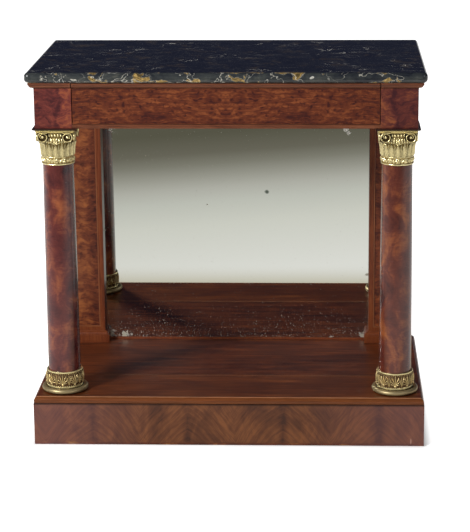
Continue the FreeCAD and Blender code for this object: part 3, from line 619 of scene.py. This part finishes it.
# Six slotted steel screws, turned flush and browned, hold the three boards.
old_steel, tree, shader, place = new_material("steel screw, browned")
rust = node(tree, "ValToRGB", grain_noise(tree, place, (2, 2, 2), 3, 0.6), stops=[
    (0.35, "#2e251f"), (0.55, "#4d4038"), (0.7, "#6a5040")])
feed(shader, {"Base Color": rust, "Metallic": 0.8, "Roughness": 0.5})
low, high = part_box("mirror_backboards")
screw_inset = 0.012
tree, given, keys = repeat_tree("backboard_screw_rows", {
    "Motif": "NodeSocketObject", "Width": "NodeSocketFloat", "Height": "NodeSocketFloat",
    "Rows": "NodeSocketInt"})
grid = node(tree, "GeometryNodeMeshGrid", given["Width"], given["Height"], 2, given["Rows"])
upright = node(tree, "GeometryNodeTransform", grid, (0.0, high.y, (low.z + high.z) / 2),
               (math.pi / 2, 0.0, 0.0))
slots_lie = node(tree, "FunctionNodeRandomValue", (0.0, -0.6, 0.0), (0.0, 0.6, 0.0),
                 inputs={"Seed": 4}, data_type="FLOAT_VECTOR")
stand_copies(tree, upright, given["Motif"], slots_lie, old_steel)
screws = placed("backboard_screws", baked("backboard_screws", tree, keys, {
    "Motif": screw_head("screw"), "Width": 2 * (high.x - screw_inset),
    "Height": (high.z - low.z) * 2 / 3, "Rows": 3}))
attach(screws, "case")


# ------------------------------------------------------------- the frieze
# Corner blocks over the columns, with side rails tenoned in behind them and
# a thin rail under the drawer, all faced with upright or quiet mahogany.
rail_wood = mahogany("frieze rail, polished", ("#442217", "#653824", "#7c4a30"),
                     "X", (90, 10), 0.35, (260, 5), 12.0)
side_wood = mahogany("frieze side rail, polished", ("#391910", "#5c2d1a", "#744024"),
                     "Y", (80, 16), 0.5, (200, 6), 13.0)
block_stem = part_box("frieze_block_right")[0].x + 0.034
block_tones = {"left": ("#3e171a", "#672d26", "#914d2e"),
               "right": ("#39151a", "#592821", "#824628")}
for side, seed in (("left", 33.0), ("right", 51.0)):
    block_wood = flamed_mahogany("frieze block, crotch veneer, " + side,
                                 block_tones[side], (34, 30, 18), (12, 14, 9),
                                 (26, 20, 3), 60, 1.9, seed, (0.36, 0.32, 0.32), 0.0,
                                 (block_stem, 0.012, 0.34, 0.14))
    dress("frieze_block_" + side, block_wood)
    dress("frieze_side_rail_" + side, side_wood)
    dress("cornice_block_" + side, rail_wood, 0.0003, 25.0)
    dress("cornice_side_" + side, side_wood, 0.0003, 25.0)
dress("drawer_rail", rail_wood)
dress("frieze_back_rail", pine_x)
dress("upper_front_rail", pine_x)
dress("marble_bearer", pine_y)


# ------------------------------------------------------------- the drawer
# The middle of the frieze pulls out.  Its front is faced with mottled
# veneer; the box behind is thin wainscot oak, dovetailed, its bottom slid
# into grooves.  It runs on pine runners between guides, under kickers.
drawer_wood = flamed_mahogany("drawer front, mottled veneer", ("#351110", "#582613", "#804422"),
                              (60, 30, 20), (15, 16, 7), (44, 16, 2.4), 30, 2.3, 61.0,
                              (0.28, 0.38, 0.34), 0.5)
lining = ("#7a5a38", "#9b7a4d", "#b08f60")
lining_y = planed_pine("drawer lining, grain front to back", lining, "Y", 21.0)
lining_x = planed_pine("drawer lining, grain along the front", lining, "X", 22.0)
dress("drawer_front", drawer_wood)
dress("drawer_cornice", rail_wood, 0.0003, 25.0)
dress("drawer_side_left", lining_y)
dress("drawer_side_right", lining_y)
dress("drawer_back", lining_x)
dress("drawer_bottom", lining_x)
for side in ("left", "right"):
    for part in ("drawer_runner_", "drawer_guide_", "drawer_kicker_"):
        dress(part + side, pine_y)
dress("drawer_stops", pine_x, 0.0006)


# ------------------------------------------------------------ the columns
# Shafts turned from solid mahogany and veneered round, with a slight swell.
# A round tenon at the foot goes through the platform, one at the head into
# the block above.
def circle(count):
    """Points round a circle of radius one."""
    turns = [2 * math.pi * i / count for i in range(count)]
    return [(math.cos(turn), math.sin(turn)) for turn in turns]


def lathe(name, profile, middle, crisp=30.0):
    """A closed ring of (radius, height) points turned about an upright axis."""
    return skin(name, [[(middle[0] + radius * x, middle[1] + radius * y, height)
                        for x, y in circle(96)] for radius, height in profile], "met", crisp)


flame = {"left": ("#31131a", "#5a2723", "#92502f"),
         "right": ("#321415", "#5b291d", "#925229")}
axis = {}
for side in ("left", "right"):
    low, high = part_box("column_shaft_" + side)
    axis[side] = ((low.x + high.x) / 2, (low.y + high.y) / 2)
foot_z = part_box("platform_front_board")[1].z
block_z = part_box("frieze_block_left")[0].z
neck_z = block_z - 0.004
foot_radius = 0.0395
neck_radius = 0.036
swell = 0.0007
tenon_radius = 0.025
for side, seed in (("left", 30.0), ("right", 42.0)):
    low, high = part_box("column_shaft_" + side)
    outline = [(0.0001, low.z), (tenon_radius, low.z), (tenon_radius, foot_z)]
    steps = 24
    for i in range(steps + 1):
        share = i / steps
        radius = foot_radius + (neck_radius - foot_radius) * share
        radius += 4 * swell * share * (1 - share)
        outline.append((radius, foot_z + (neck_z - foot_z) * share))
    outline += [(tenon_radius, neck_z), (tenon_radius, high.z), (0.0001, high.z)]
    shaft = lathe("shaft_" + side, outline, axis[side])
    shaft.data.materials.append(flamed_mahogany(
        "column veneer, " + side, flame[side], (50, 50, 80), (17, 17, 30), (46, 46, 4),
        100, 1.6, seed, (0.62, 0.26, 0.12), gloss=0.24, coat=0.65))
    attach(shaft, "case")
    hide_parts("column_shaft_" + side)


# ----------------------------------------------------------- the gilt bases
# Cast brass, chased and mercury gilt.  A plain round torus sits on the
# platform, and a collar of palmettes on a matted ground slips over the shaft.
def gilt_brass(name, bright, dull, mat_mm, relief, rough):
    """Gilt brass, rubbed bright on its high places and dark in its hollows: grime and painted
    shade, found by ambient occlusion.
    """
    surface, tree, shader, place = new_material(name)
    # Ambient occlusion darkens the colour in the hollows, which paints shade into them; a tarnish
    # noise is mixed in.
    open_sky = node(tree, "AmbientOcclusion", out="AO", inputs={"Distance": 0.007}, samples=4)
    openness = node(tree, "MapRange", open_sky, 0.38, 0.71)
    stain = grain_noise(tree, place, (9, 9, 9), 3, 0.6, 0.5)
    wear_grime_and_shade = contrasted(tree, stain, 0.8, 0.5, openness, use_clamp=True)
    matting = grain_noise(tree, place, (mat_mm, mat_mm, mat_mm), 1, 0.5)
    feed(shader, {
        "Base Color": node(tree, "Mix", wear_grime_and_shade, linear(dull), linear(bright), data_type="RGBA"),
        "Normal": node(tree, "Bump", inputs={
            "Strength": relief, "Distance": 0.0006, "Height": matting}),
        "Roughness": node(tree, "Math MULTIPLY_ADD", wear_grime_and_shade, -0.2, rough), "Metallic": 0.70})
    return surface


satin_gilt = gilt_brass("gilt brass, satin", "#f0dc98", "#5e4c22", 3.0, 0.10, 0.46)
dull_gilt = gilt_brass("gilt brass, dulled", "#aa9870", "#4a3d22", 3.0, 0.15, 0.64)
chased_gilt = gilt_brass("gilt brass, chased and matted", "#fdecb0", "#241a0c", 1.0, 0.3, 0.44)
ground_gilt = gilt_brass("gilt brass, matted ground", "#8c7642", "#1c1408", 1.0, 0.5, 0.58)
brown_gilt = gilt_brass("gilt brass, browned ground", "#6a5034", "#1c120a", 1.0, 0.5, 0.66)
# This near-black gilt paints shade: it is laid in the scrolls' channels so they read dark.
channel_shade_gilt = gilt_brass("gilt brass, dark in the channels", "#4a3a1c", "#140e06", 1.0, 0.3, 0.7)
aged_gilt = gilt_brass("gilt brass, chased and aged", "#dcc38a", "#20170a", 1.0, 0.3, 0.52)


def mount(piece, surface, *nodes):
    """Fixes a brass piece to the case."""
    if not piece.data.materials:
        piece.data.materials.append(surface)
    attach(piece, "case")
    if nodes:
        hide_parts(*nodes)


def ring_of(name, motif, count, first_angle=0.0, surface=chased_gilt):
    """Copies of a motif round both columns, as one plain mesh object."""
    tree, given, keys = repeat_tree(name + "_ring", {
        "Motif": "NodeSocketObject", "Count": "NodeSocketInt", "First angle": "NodeSocketFloat"})
    places = node(tree, "GeometryNodeMeshLine", given["Count"], inputs={"Offset": (0, 0, 0)})
    step = node(tree, "Math DIVIDE", 2 * math.pi, given["Count"])
    turn = node(tree, "Math MULTIPLY_ADD", node(tree, "GeometryNodeInputIndex"), step,
                given["First angle"])
    heading = node(tree, "CombineXYZ", inputs={"Z": turn})
    stand_copies(tree, places, given["Motif"], heading, surface)
    ring = baked(name, tree, keys, {
        "Motif": motif, "Count": count, "First angle": first_angle})
    twins = []
    for side in ("left", "right"):
        mesh = ring.copy()
        mesh.transform(Matrix.Translation((axis[side][0], axis[side][1], 0.0)))
        twins.append(bpy.data.objects.new(name + side, mesh))
    mount(joined(name, twins), surface)


def wrapped(name, radius, rows):
    """A motif laid on a drum, facing the front.

    rows is a grid of (distance round the drum, height, relief).
    """
    points = [((radius + relief) * math.sin(arc / radius),
               -(radius + relief) * math.cos(arc / radius), height)
              for row in rows for arc, height, relief in row]
    return smooth_piece(name, points, quads(rows, shut=False), 180.0)


def petal(height, lean, length, width, lift, rows=7):
    """A leaf that leans off upright by lean degrees, as rows for a drum."""
    columns = 5
    sunk = 0.0003
    rise = math.cos(math.radians(lean))
    slope = math.sin(math.radians(lean))
    grid = []
    for r in range(rows):
        v = r / (rows - 1)
        half = width * math.sin(math.pi * min(1.0, 0.12 + 0.88 * v)) ** 0.7
        line = []
        for c in range(columns):
            u = 2 * c / (columns - 1) - 1
            across = u * half
            dome = lift * (1 - u * u) * math.sin(math.pi * (0.1 + 0.88 * v))
            line.append((slope * v * length + rise * across,
                         height + rise * v * length - slope * across, dome - sunk))
        grid.append(line)
    return grid


def matted(piece, spans, ground):
    """Gives the rings of a turned piece between two heights the dull ground."""
    piece.data.materials.append(chased_gilt)
    piece.data.materials.append(ground)
    for face in piece.data.polygons:
        if any(low < face.center.z < high for low, high in spans):
            face.material_index = 1
    return piece


collar_low, collar_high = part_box("base_collars")
torus_low, torus_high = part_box("base_tori")
torus_bore = 0.0405
torus_radius = 0.0566
torus_half = (torus_high.z - torus_low.z) / 2
scotia = 0.0446
torus_outline = []
for i in range(13):
    angle = math.pi * (i / 12 - 0.5)
    torus_outline.append((torus_radius - torus_half + torus_half * math.cos(angle),
                          torus_low.z + torus_half + torus_half * math.sin(angle)))
torus_outline += [(scotia + 0.0012, torus_high.z - 0.0015), (scotia, torus_high.z - 0.002),
                  (scotia, torus_high.z), (torus_bore, torus_high.z), (torus_bore, torus_low.z)]
tori = [lathe("torus", torus_outline, middle) for middle in axis.values()]
mount(joined("base_torus_turned", tori), dull_gilt, "base_tori")

collar_bore = 0.0402
low_z = collar_low.z
top_z = collar_high.z
collar_outline = [(collar_bore, low_z), (0.0444, low_z), (0.0450, low_z + 0.0010),
                  (0.0450, low_z + 0.0022), (0.0440, low_z + 0.0030),
                  (0.0438, low_z + 0.0042)]
for i in range(9):
    share = i / 8
    radius = 0.0438 + 0.0016 * math.sin(math.pi * share) - 0.0006 * share
    collar_outline.append((radius, low_z + 0.0050 + (top_z - low_z - 0.0095) * share))
collar_outline += [(0.0436, top_z - 0.0034), (0.0442, top_z - 0.0026),
                   (0.0442, top_z - 0.0008), (0.0436, top_z), (collar_bore, top_z)]
matted_band = [(low_z + 0.0045, top_z - 0.0036)]
collars = [matted(lathe("collar", collar_outline, middle), matted_band, brown_gilt)
           for middle in axis.values()]
mount(joined("base_collar_drum", collars), chased_gilt, "base_collars")


def motif_of(name, radius, grids):
    """Several leaves as one motif."""
    return joined(name, [wrapped(name + str(i), radius, grid)
                         for i, grid in enumerate(grids)])


collar_radius = 0.0449
palmette = [petal(collar_low.z + 0.0115, lean, length, 0.0016, 0.0030)
            for lean, length in ((0, 0.0245), (-22, 0.0235), (22, 0.0235), (-46, 0.0195),
                                 (46, 0.0195), (-74, 0.0135), (74, 0.0135))]
palmette.append(petal(collar_low.z + 0.006, 0, 0.008, 0.0034, 0.0032))
ring_of("collar_palmettes", motif_of("palmette", collar_radius, palmette), 9, 0.0, aged_gilt)
lotus = [petal(collar_low.z + 0.008, lean, length, 0.0013, 0.0028)
         for lean, length in ((0, 0.0265), (-15, 0.0250), (15, 0.0250))]
ring_of("collar_lotus", motif_of("lotus", collar_radius, lotus), 9, math.pi / 9, aged_gilt)


def bead(name, radius, height, size, tall=1.0):
    """A small cast bead standing out of a drum at its front."""
    shape = bmesh.new()
    bmesh.ops.create_icosphere(shape, subdivisions=1, radius=size)
    for point in shape.verts:
        point.co.z *= tall
        point.co += Vector((0.0, -radius, height))
    mesh = bpy.data.meshes.new(name)
    shape.to_mesh(mesh)
    shape.free()
    mesh.shade_smooth()
    return placed(name, mesh)


ring_of("collar_beads", bead("collar_bead", 0.0445, collar_high.z - 0.0052, 0.0010), 60,
        0.0, aged_gilt)
ring_of("collar_foot_beads", bead("foot_bead", 0.0448, collar_low.z + 0.0056, 0.0012), 52,
        0.0, aged_gilt)


# -------------------------------------------------------------- the capitals
# Cast and gilt like the bases, in one piece that slips over the neck of the
# shaft: a square moulded head, four scrolled faces with eggs and beads
# between the scrolls, and a bell of upright leaves over a band of rosettes.
capital_low, capital_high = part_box("capitals")
head_low = capital_high.z - 0.007
scroll_z = head_low - 0.0109
scroll_x = 0.030
face_out = 0.0454
scroll_radius = 0.0125


def square_head(name, profile, middle, crisp):
    """A square moulding, mitred at its corners, from (half width, height)."""
    corners = ((-1, -1), (1, -1), (1, 1), (-1, 1))
    return skin(name, [[(middle[0] + half * x, middle[1] + half * y, height)
                        for x, y in corners] for half, height in profile], crisp=crisp)


def scroll_disc(name, hand):
    """The dished round end of a scroll, facing the front."""
    outline = [(0.0002, 0.0040), (0.0080, 0.0040), (0.0088, 0.0030), (0.0094, 0.0016),
               (0.0120, 0.0016), (scroll_radius, 0.0026), (scroll_radius, 0.0080),
               (0.0002, 0.0080)]
    return skin(name, [[(hand * scroll_x + radius * x, depth - face_out, scroll_z + radius * z)
                        for x, z in circle(40)] for radius, depth in outline], "open")


def scroll_wire(name, hand):
    """The raised rib that comes from under the head and winds in to the eye."""
    turns = 1.35
    steps = 54
    run_in = 4
    rings = []
    for i in range(-run_in, steps + 1):
        share = max(0, i) / steps
        angle = math.pi / 2 - 2 * math.pi * turns * share
        reach = 0.0109 - 0.0068 * max(0.0, share - 0.60) ** 0.8 / 0.40 ** 0.8
        thick = 0.0017 - 0.0009 * share
        start = scroll_x + 0.003 * min(0, i)
        rings.append([(hand * (start + (reach + thick * x) * math.cos(angle)),
                       0.0010 - face_out - 1.5 * thick * y,
                       scroll_z + (reach + thick * x) * math.sin(angle))
                      for x, y in circle(8)])
    return skin(name, rings, crisp=60.0)


def scroll_cushion(name):
    """The bolster at a corner, where two scrolls stand back to back."""
    inner = 0.024
    ease = 0.0025
    steps = 14
    rings = []
    for i in range(steps + 1):
        angle = math.pi * (i / steps - 0.5) * 0.98
        height = scroll_z + (scroll_radius - 0.0006) * math.sin(angle)
        out = scroll_x + (scroll_radius - 0.0032) * math.cos(angle)
        rings.append([(x, -y, height) for x, y in (
            (inner, inner), (out, inner), (out, out - ease), (out - ease, out), (inner, out))])
    return skin(name, rings, crisp=40.0)


def swag(name):
    """The cast cord that dips between two scrolls."""
    steps = 16
    half = 0.0185
    thick = 0.0011
    rings = []
    for i in range(steps + 1):
        x = half * (2 * i / steps - 1)
        drop = 0.0052 * (1 - (x / half) ** 2)
        out = 0.0428 - 0.0003 * (x / 0.01) ** 2
        rings.append([(x, -out - thick * y, scroll_z - 0.0105 - drop + thick * z)
                      for z, y in circle(6)])
    return skin(name, rings, crisp=60.0)


def leaf(height, length, half, lift, rows=9, columns=9):
    """An upright pointed leaf with a rib and two grooves, as rows for a drum."""
    grid = []
    for r in range(rows):
        v = r / (rows - 1)
        shoulder = max(0.0, (v - 0.30) / 0.70)
        wide = half * (0.85 + 0.15 * math.sin(math.pi * v)) * (1 - shoulder ** 1.6)
        line = []
        for c in range(columns):
            u = 2 * c / (columns - 1) - 1
            body = lift * (1 - u ** 6) * (0.45 + 0.55 * v)
            rib = (0.0013 * math.exp(-(u / 0.16) ** 2)
                   - 0.0021 * math.exp(-((abs(u) - 0.45) / 0.17) ** 2))
            curl = 0.0026 * v ** 6
            line.append((u * wide, height + v * length, body + rib + curl - 0.0004))
        grid.append(line)
    grid.append([(0.0, height + length * 0.985, -0.0004)] * columns)
    return grid


def rosette(height, radius):
    """A round flower head as rows for a drum."""
    petals = 6
    rings = 5
    grid = []
    for r in range(rings + 1):
        reach = radius * r / rings
        line = []
        for c in range(petals * 4 + 1):
            angle = 2 * math.pi * c / (petals * 4)
            lobe = abs(math.cos(petals * angle / 2)) ** 0.6
            boss = 0.0030 * math.exp(-(r / 1.1) ** 2)
            rise = boss + 0.0024 * lobe * math.sin(math.pi * r / rings)
            spread = reach * (0.8 + 0.2 * lobe)
            line.append((spread * math.cos(angle), height + spread * math.sin(angle),
                         rise - 0.0002))
        grid.append(line)
    return grid


# Outlines are (radius or half width, height above the foot) in millimetres.
bell_outline_mm = [
    (37.0, 0.0), (39.4, 0.0), (40.1, 1.0), (40.1, 2.2), (39.4, 3.2), (38.6, 4.0),
    (38.6, 17.5), (39.3, 18.2), (39.7, 19.2), (39.3, 20.2), (38.4, 21.0), (38.3, 34.0),
    (39.0, 50.0), (40.4, 52.4), (41.4, 56.0), (41.8, 60.0), (41.2, 65.0), (40.6, 67.0),
    (41.2, 69.0), (41.4, 73.0), (40.8, 76.0), (40.6, 80.5), (37.0, 80.5)]
bell_outline = [(radius / 1000, capital_low.z + rise / 1000) for radius, rise in bell_outline_mm]
matted_mm = ((3.6, 17.6), (20.6, 66.2), (67.2, 80.0))
matted_spans = [(capital_low.z + low / 1000, capital_low.z + high / 1000)
                for low, high in matted_mm]
head_outline_mm = [(40.5, -0.6), (43.2, -0.6), (44.0, 0.6), (44.6, 1.2), (45.2, 2.4),
                   (46.0, 3.4), (46.6, 3.8), (47.0, 4.6), (47.0, 6.6), (46.6, 7.0)]
head_outline = [(half / 1000, head_low + rise / 1000) for half, rise in head_outline_mm]
bells = [matted(lathe("bell", bell_outline, middle, 35.0), matted_spans, ground_gilt)
         for middle in axis.values()]
heads = [square_head("head", head_outline, middle, 20.0) for middle in axis.values()]
mount(joined("capital_bell", bells), chased_gilt, "capitals")
mount(joined("capital_head", heads), satin_gilt)

scrolls = [scroll_cushion("cushion"), swag("swag")]
channels = []
for hand in (-1, 1):
    channels.append(scroll_disc("disc", hand))
    scrolls.append(scroll_wire("wire", hand))
    eye = bead("eye", face_out - 0.0044, scroll_z, 0.0042)
    eye.data.transform(Matrix.Translation((hand * scroll_x, 0.0, 0.0)))
    scrolls.append(eye)
ring_of("capital_scrolls", joined("scrolls", scrolls), 4)
# The channels between the scroll's turns get the near-black gilt, a painted shade in the grooves.
ring_of("capital_scroll_channels", joined("channels", channels), 4, 0.0, channel_shade_gilt)
ring_of("capital_eggs", bead("egg", 0.0412, head_low - 0.0068, 0.0027, 1.9), 36)
ring_of("capital_pearls", bead("pearl", 0.0414, head_low - 0.0146, 0.0016), 52)
front_leaf = leaf(capital_low.z + 0.0205, 0.0328, 0.0058, 0.0041)
ring_of("capital_leaves", wrapped("leaf", 0.0388, front_leaf), 16)
back_leaf = leaf(capital_low.z + 0.0205, 0.0345, 0.0030, 0.0022, 7, 7)
ring_of("capital_back_leaves", wrapped("back_leaf", 0.0386, back_leaf), 16, math.pi / 16)
spray = [petal(scroll_z - 0.0185, lean, length, 0.0015, 0.0022, 6)
         for lean, length in ((0, 0.0105), (-32, 0.0100), (32, 0.0100), (-64, 0.0095),
                              (64, 0.0095))]
ring_of("capital_sprays", motif_of("spray", 0.0420, spray), 4)
tongue = petal(capital_low.z + 0.0535, 0, 0.0125, 0.0027, 0.0022, 6)
ring_of("capital_tongues", wrapped("tongue", 0.0414, tongue), 40, math.pi / 40)
ring_of("capital_rosettes", wrapped("rosette", 0.0388, rosette(capital_low.z + 0.0108, 0.0068)),
        12)
buds = [petal(capital_low.z + 0.0050, lean, 0.0115, 0.0014, 0.0013, 5)
        for lean in (-24, 0, 24)]
ring_of("capital_buds", motif_of("bud", 0.0387, buds), 12, math.pi / 12)

# A thin plate of mahogany, coloured very dark, sits on each capital, under the block.
plate_wood = mahogany("capital plate, mahogany coloured very dark", ("#1c100d", "#2c1813", "#3c221a"),
                    "X", (60, 14), 0.4, (160, 5), 17.0)
dress("capital_abaci", plate_wood, 0.0004)


# ------------------------------------------------------------ the marble top
# One slab of black marble with gold and white veins, sawn 25 mm thick and
# polished, its front and ends worked to a round.  It lies by its own weight.
def black_gold_marble(name, edge_y):
    """Polished black marble, richest in gold and white threads along its front edge, and grey
    there: painted light on the front face.
    """
    surface, tree, shader, place = new_material(name)
    drift = node(tree, "TexNoise", place, 6.0, 4.0, 0.6, out="Color")
    bent = node(tree, "VectorMath MULTIPLY_ADD", drift, (0.16, 0.16, 0.10), place)

    def threads(stretch, scale, width, seed):
        """Thin wandering lines where two ways of noise cross."""
        laid = node(tree, "Mapping", bent, (seed, seed, seed), (0.0, 0.0, 0.35), stretch)
        cloud = node(tree, "TexNoise", laid, scale, 3.0, 0.55)
        edge = node(tree, "Math ABSOLUTE", node(tree, "Math SUBTRACT", cloud, 0.5))
        return node(tree, "MapRange", edge, 0.0, width, 1.0, 0.0)

    where = node(tree, "MapRange", node(tree, "TexNoise", place, 9.0, 2.0), 0.50, 0.64)
    depth = node(tree, "SeparateXYZ", place, out="Y")
    veins_and_lit_edge = node(tree, "MapRange", depth, edge_y + 0.003, edge_y + 0.012, 1.0, 0.10)
    blotch = grain_noise(tree, bent, (46, 26, 26), 3, 0.5, 0.4, 3.0)
    gold = node(tree, "MapRange", blotch, 0.600, 0.632)
    gilded = node(tree, "ValToRGB", grain_noise(tree, bent, (9, 6, 4), 3, 0.6, 0.6), stops=[
        (0.35, "#4f4227"), (0.5, "#8d7340"), (0.68, "#c4a465")])
    rim = node(tree, "Math ABSOLUTE", node(tree, "Math SUBTRACT", blotch, 0.602))
    rims = node(tree, "MapRange", rim, 0.0, 0.008, 0.5, 0.0)
    white = node(tree, "Math MULTIPLY", threads((1.0, 1.8, 1.8), 12.0, 0.0078, 8.0),
                 node(tree, "Math SUBTRACT", 1.25, where, use_clamp=True))
    white = node(tree, "Math MAXIMUM", white, rims)
    hairs = node(tree, "Math MULTIPLY", threads((1.0, 2.6, 1.0), 7.0, 0.0042, 17.0), where)
    cloud = grain_noise(tree, bent, (60, 30, 30), 4, 0.6)
    ground, lit_edge_grey = [node(tree, "ValToRGB", cloud, stops=zip((0.35, 0.6, 0.8), tones))
                    for tones in (("#08090f", "#0e1018", "#181a21"),
                                  ("#202329", "#393c3b", "#5c5a51"))]
    beds = grain_noise(tree, bent, (420, 7, 7), 3, 0.6)
    # Near the front edge the ground turns grey, painted light of the lit rounded edge, and the
    # veins grow denser.
    for share, tone in (
            (veins_and_lit_edge, lit_edge_grey),
            (node(tree, "MapRange", beds, 0.58, 0.76, 0.0, 0.25), linear("#34363f")),
            (node(tree, "Math MULTIPLY", node(tree, "Math MULTIPLY", gold, 0.9), veins_and_lit_edge),
             gilded),
            (node(tree, "Math MULTIPLY", node(tree, "Math MULTIPLY", white, 0.85), veins_and_lit_edge),
             linear("#cfcabb")),
            (hairs, linear("#dedace"))):
        ground = node(tree, "Mix", share, ground, tone, data_type="RGBA")
    feed(shader, {"Base Color": ground, "Roughness": 0.10, "IOR": 1.5})
    return surface


marble_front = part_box("marble_top")[0].y
dress("marble_top", black_gold_marble("black and gold marble, polished", marble_front),
      0.0, 22.0)


# ----------------------------------------------------- floor, light, camera
# A plain pale floor and sky.  In reflections only, the floor is darker far
# in front of the table and the sky is dark, as in a studio behind the lamps.
def studio_floor(name):
    """A matt white floor, lifted to white for the camera; shadows stay on it, and a painted
    contact shadow darkens it at the table's foot.
    """
    surface, tree, shader, place = new_material(name)
    x = node(tree, "SeparateXYZ", place, out="X")
    y = node(tree, "SeparateXYZ", place, out="Y")
    far = node(tree, "MapRange", node(tree, "Math MULTIPLY_ADD", x, 0.3, y), -0.5, -3.5)
    mirrored = node(tree, "ValToRGB", far, stops=[
        (0.08, "#f2efed"), (0.27, "#e1dfd9"), (0.37, "#d0cfc9"), (0.43, "#c1beb8"),
        (0.49, "#a7a49c"), (0.55, "#8a877d"), (0.61, "#726e63"), (0.72, "#605d50")])
    beside = node(tree, "Math MAXIMUM", *[
        node(tree, "Math SUBTRACT", node(tree, "Math ABSOLUTE", off), edge)
        for off, edge in ((x, cad_box[1].x), (y, cad_box[1].y))])
    # In reflections the floor close round the table is warm cream: painted shade and bounce light
    # from the mahogany.
    painted_warm_shade = node(tree, "MapRange", beside, 0.25, 0.55, 1.0, 0.0,
                interpolation_type="SMOOTHSTEP")
    mirrored = node(tree, "Mix", painted_warm_shade, mirrored, linear("#c6bca4"), data_type="RGBA")
    glossy = node(tree, "LightPath", out="Is Glossy Ray")
    direct = node(tree, "LightPath", out="Is Camera Ray")
    away = node(tree, "VectorMath LENGTH", place)
    lift = node(tree, "MapRange", away, 1.0, 3.0, 0.74, 1.0)
    # Painted contact shadow: for the camera the floor's glow drops close round the table's foot.
    clear = node(tree, "MapRange", beside, 0.0, 0.02, 0.15, 1.0)
    glow = node(tree, "Math MULTIPLY_ADD", node(tree, "Math MULTIPLY", direct, clear), lift,
                glossy)
    feed(shader, {
        "Emission Color": node(tree, "Mix", glossy, linear("#ffffff"), mirrored,
                               data_type="RGBA"),
        "Emission Strength": glow,
        "Base Color": node(tree, "Mix", glossy, linear("#f0f0f0"), linear("#000000"),
                           data_type="RGBA"),
        "Roughness": 0.9, "Specular IOR Level": 0.0})
    return surface


floor_reach = 14.0
floor_mesh = bpy.data.meshes.new("floor")
floor_mesh.from_pydata([(x * floor_reach, y * floor_reach, 0.0) for x, y in (
    (-1, -1), (1, -1), (1, 1), (-1, 1))], [], [(0, 1, 2, 3)])
floor_mesh.materials.append(studio_floor("studio floor, matt white"))
placed("floor", floor_mesh)

world = bpy.data.worlds.new("studio")
bpy.context.scene.world = world
world.use_nodes = True
sky = world.node_tree
sky.nodes.clear()
heading = node(sky, "TexCoord", out="Generated")
climb = node(sky, "MapRange", node(sky, "SeparateXYZ", heading, out="Z"), -0.02, 0.08,
             interpolation_type="SMOOTHSTEP")
shown = node(sky, "Mix", climb, linear("#e6e6e6"), linear("#272a3c"), data_type="RGBA")
shown = node(sky, "Mix", node(sky, "LightPath", out="Is Glossy Ray"), linear("#7c7c7c"),
             shown, data_type="RGBA")
shown = node(sky, "Mix", node(sky, "LightPath", out="Is Camera Ray"), shown,
             linear("#ffffff"), data_type="RGBA")
node(sky, "OutputWorld", node(sky, "Background", shown, 1.0))


def soft_lamp(name, place, target, width, height, power):
    """A soft box that points at a spot on the table."""
    lamp = bpy.data.lights.new(name, "AREA")
    lamp.shape = "RECTANGLE"
    lamp.size = width
    lamp.size_y = height
    lamp.energy = power
    holder = placed(name, lamp)
    holder.location = place
    aim = Vector(target) - Vector(place)
    holder.rotation_euler = aim.to_track_quat("-Z", "Y").to_euler()
    return holder


soft_lamp("key", (-3.1, -3.2, 2.6), (0.0, 0.0, 0.45), 1.0, 1.0, 229.0)
soft_lamp("fill", (2.9, -3.2, 2.2), (0.0, 0.0, 0.45), 2.2, 2.0, 24.0)
behind = soft_lamp("back", (0.0, 2.8, 3.6), (0.0, 0.3, 0.45), 2.0, 1.6, 90.0)
behind.visible_glossy = False

turn, tilt, roll = 0.0328, 0.2475, -0.0058
camera_data = bpy.data.cameras.new("viewpoint")
camera_data.lens = 130.0
camera_data.shift_x = -0.053
camera_data.shift_y = -0.0707
camera = placed("viewpoint", camera_data)
camera.location = (0.2329, -4.69, 1.6673)
camera.rotation_euler = (Matrix.Rotation(turn, 3, "Z")
                         @ Matrix.Rotation(math.pi / 2 - tilt, 3, "X")
                         @ Matrix.Rotation(roll, 3, "Z")).to_euler()
bpy.context.scene.camera = camera
bpy.context.scene.view_settings.view_transform = "Standard"
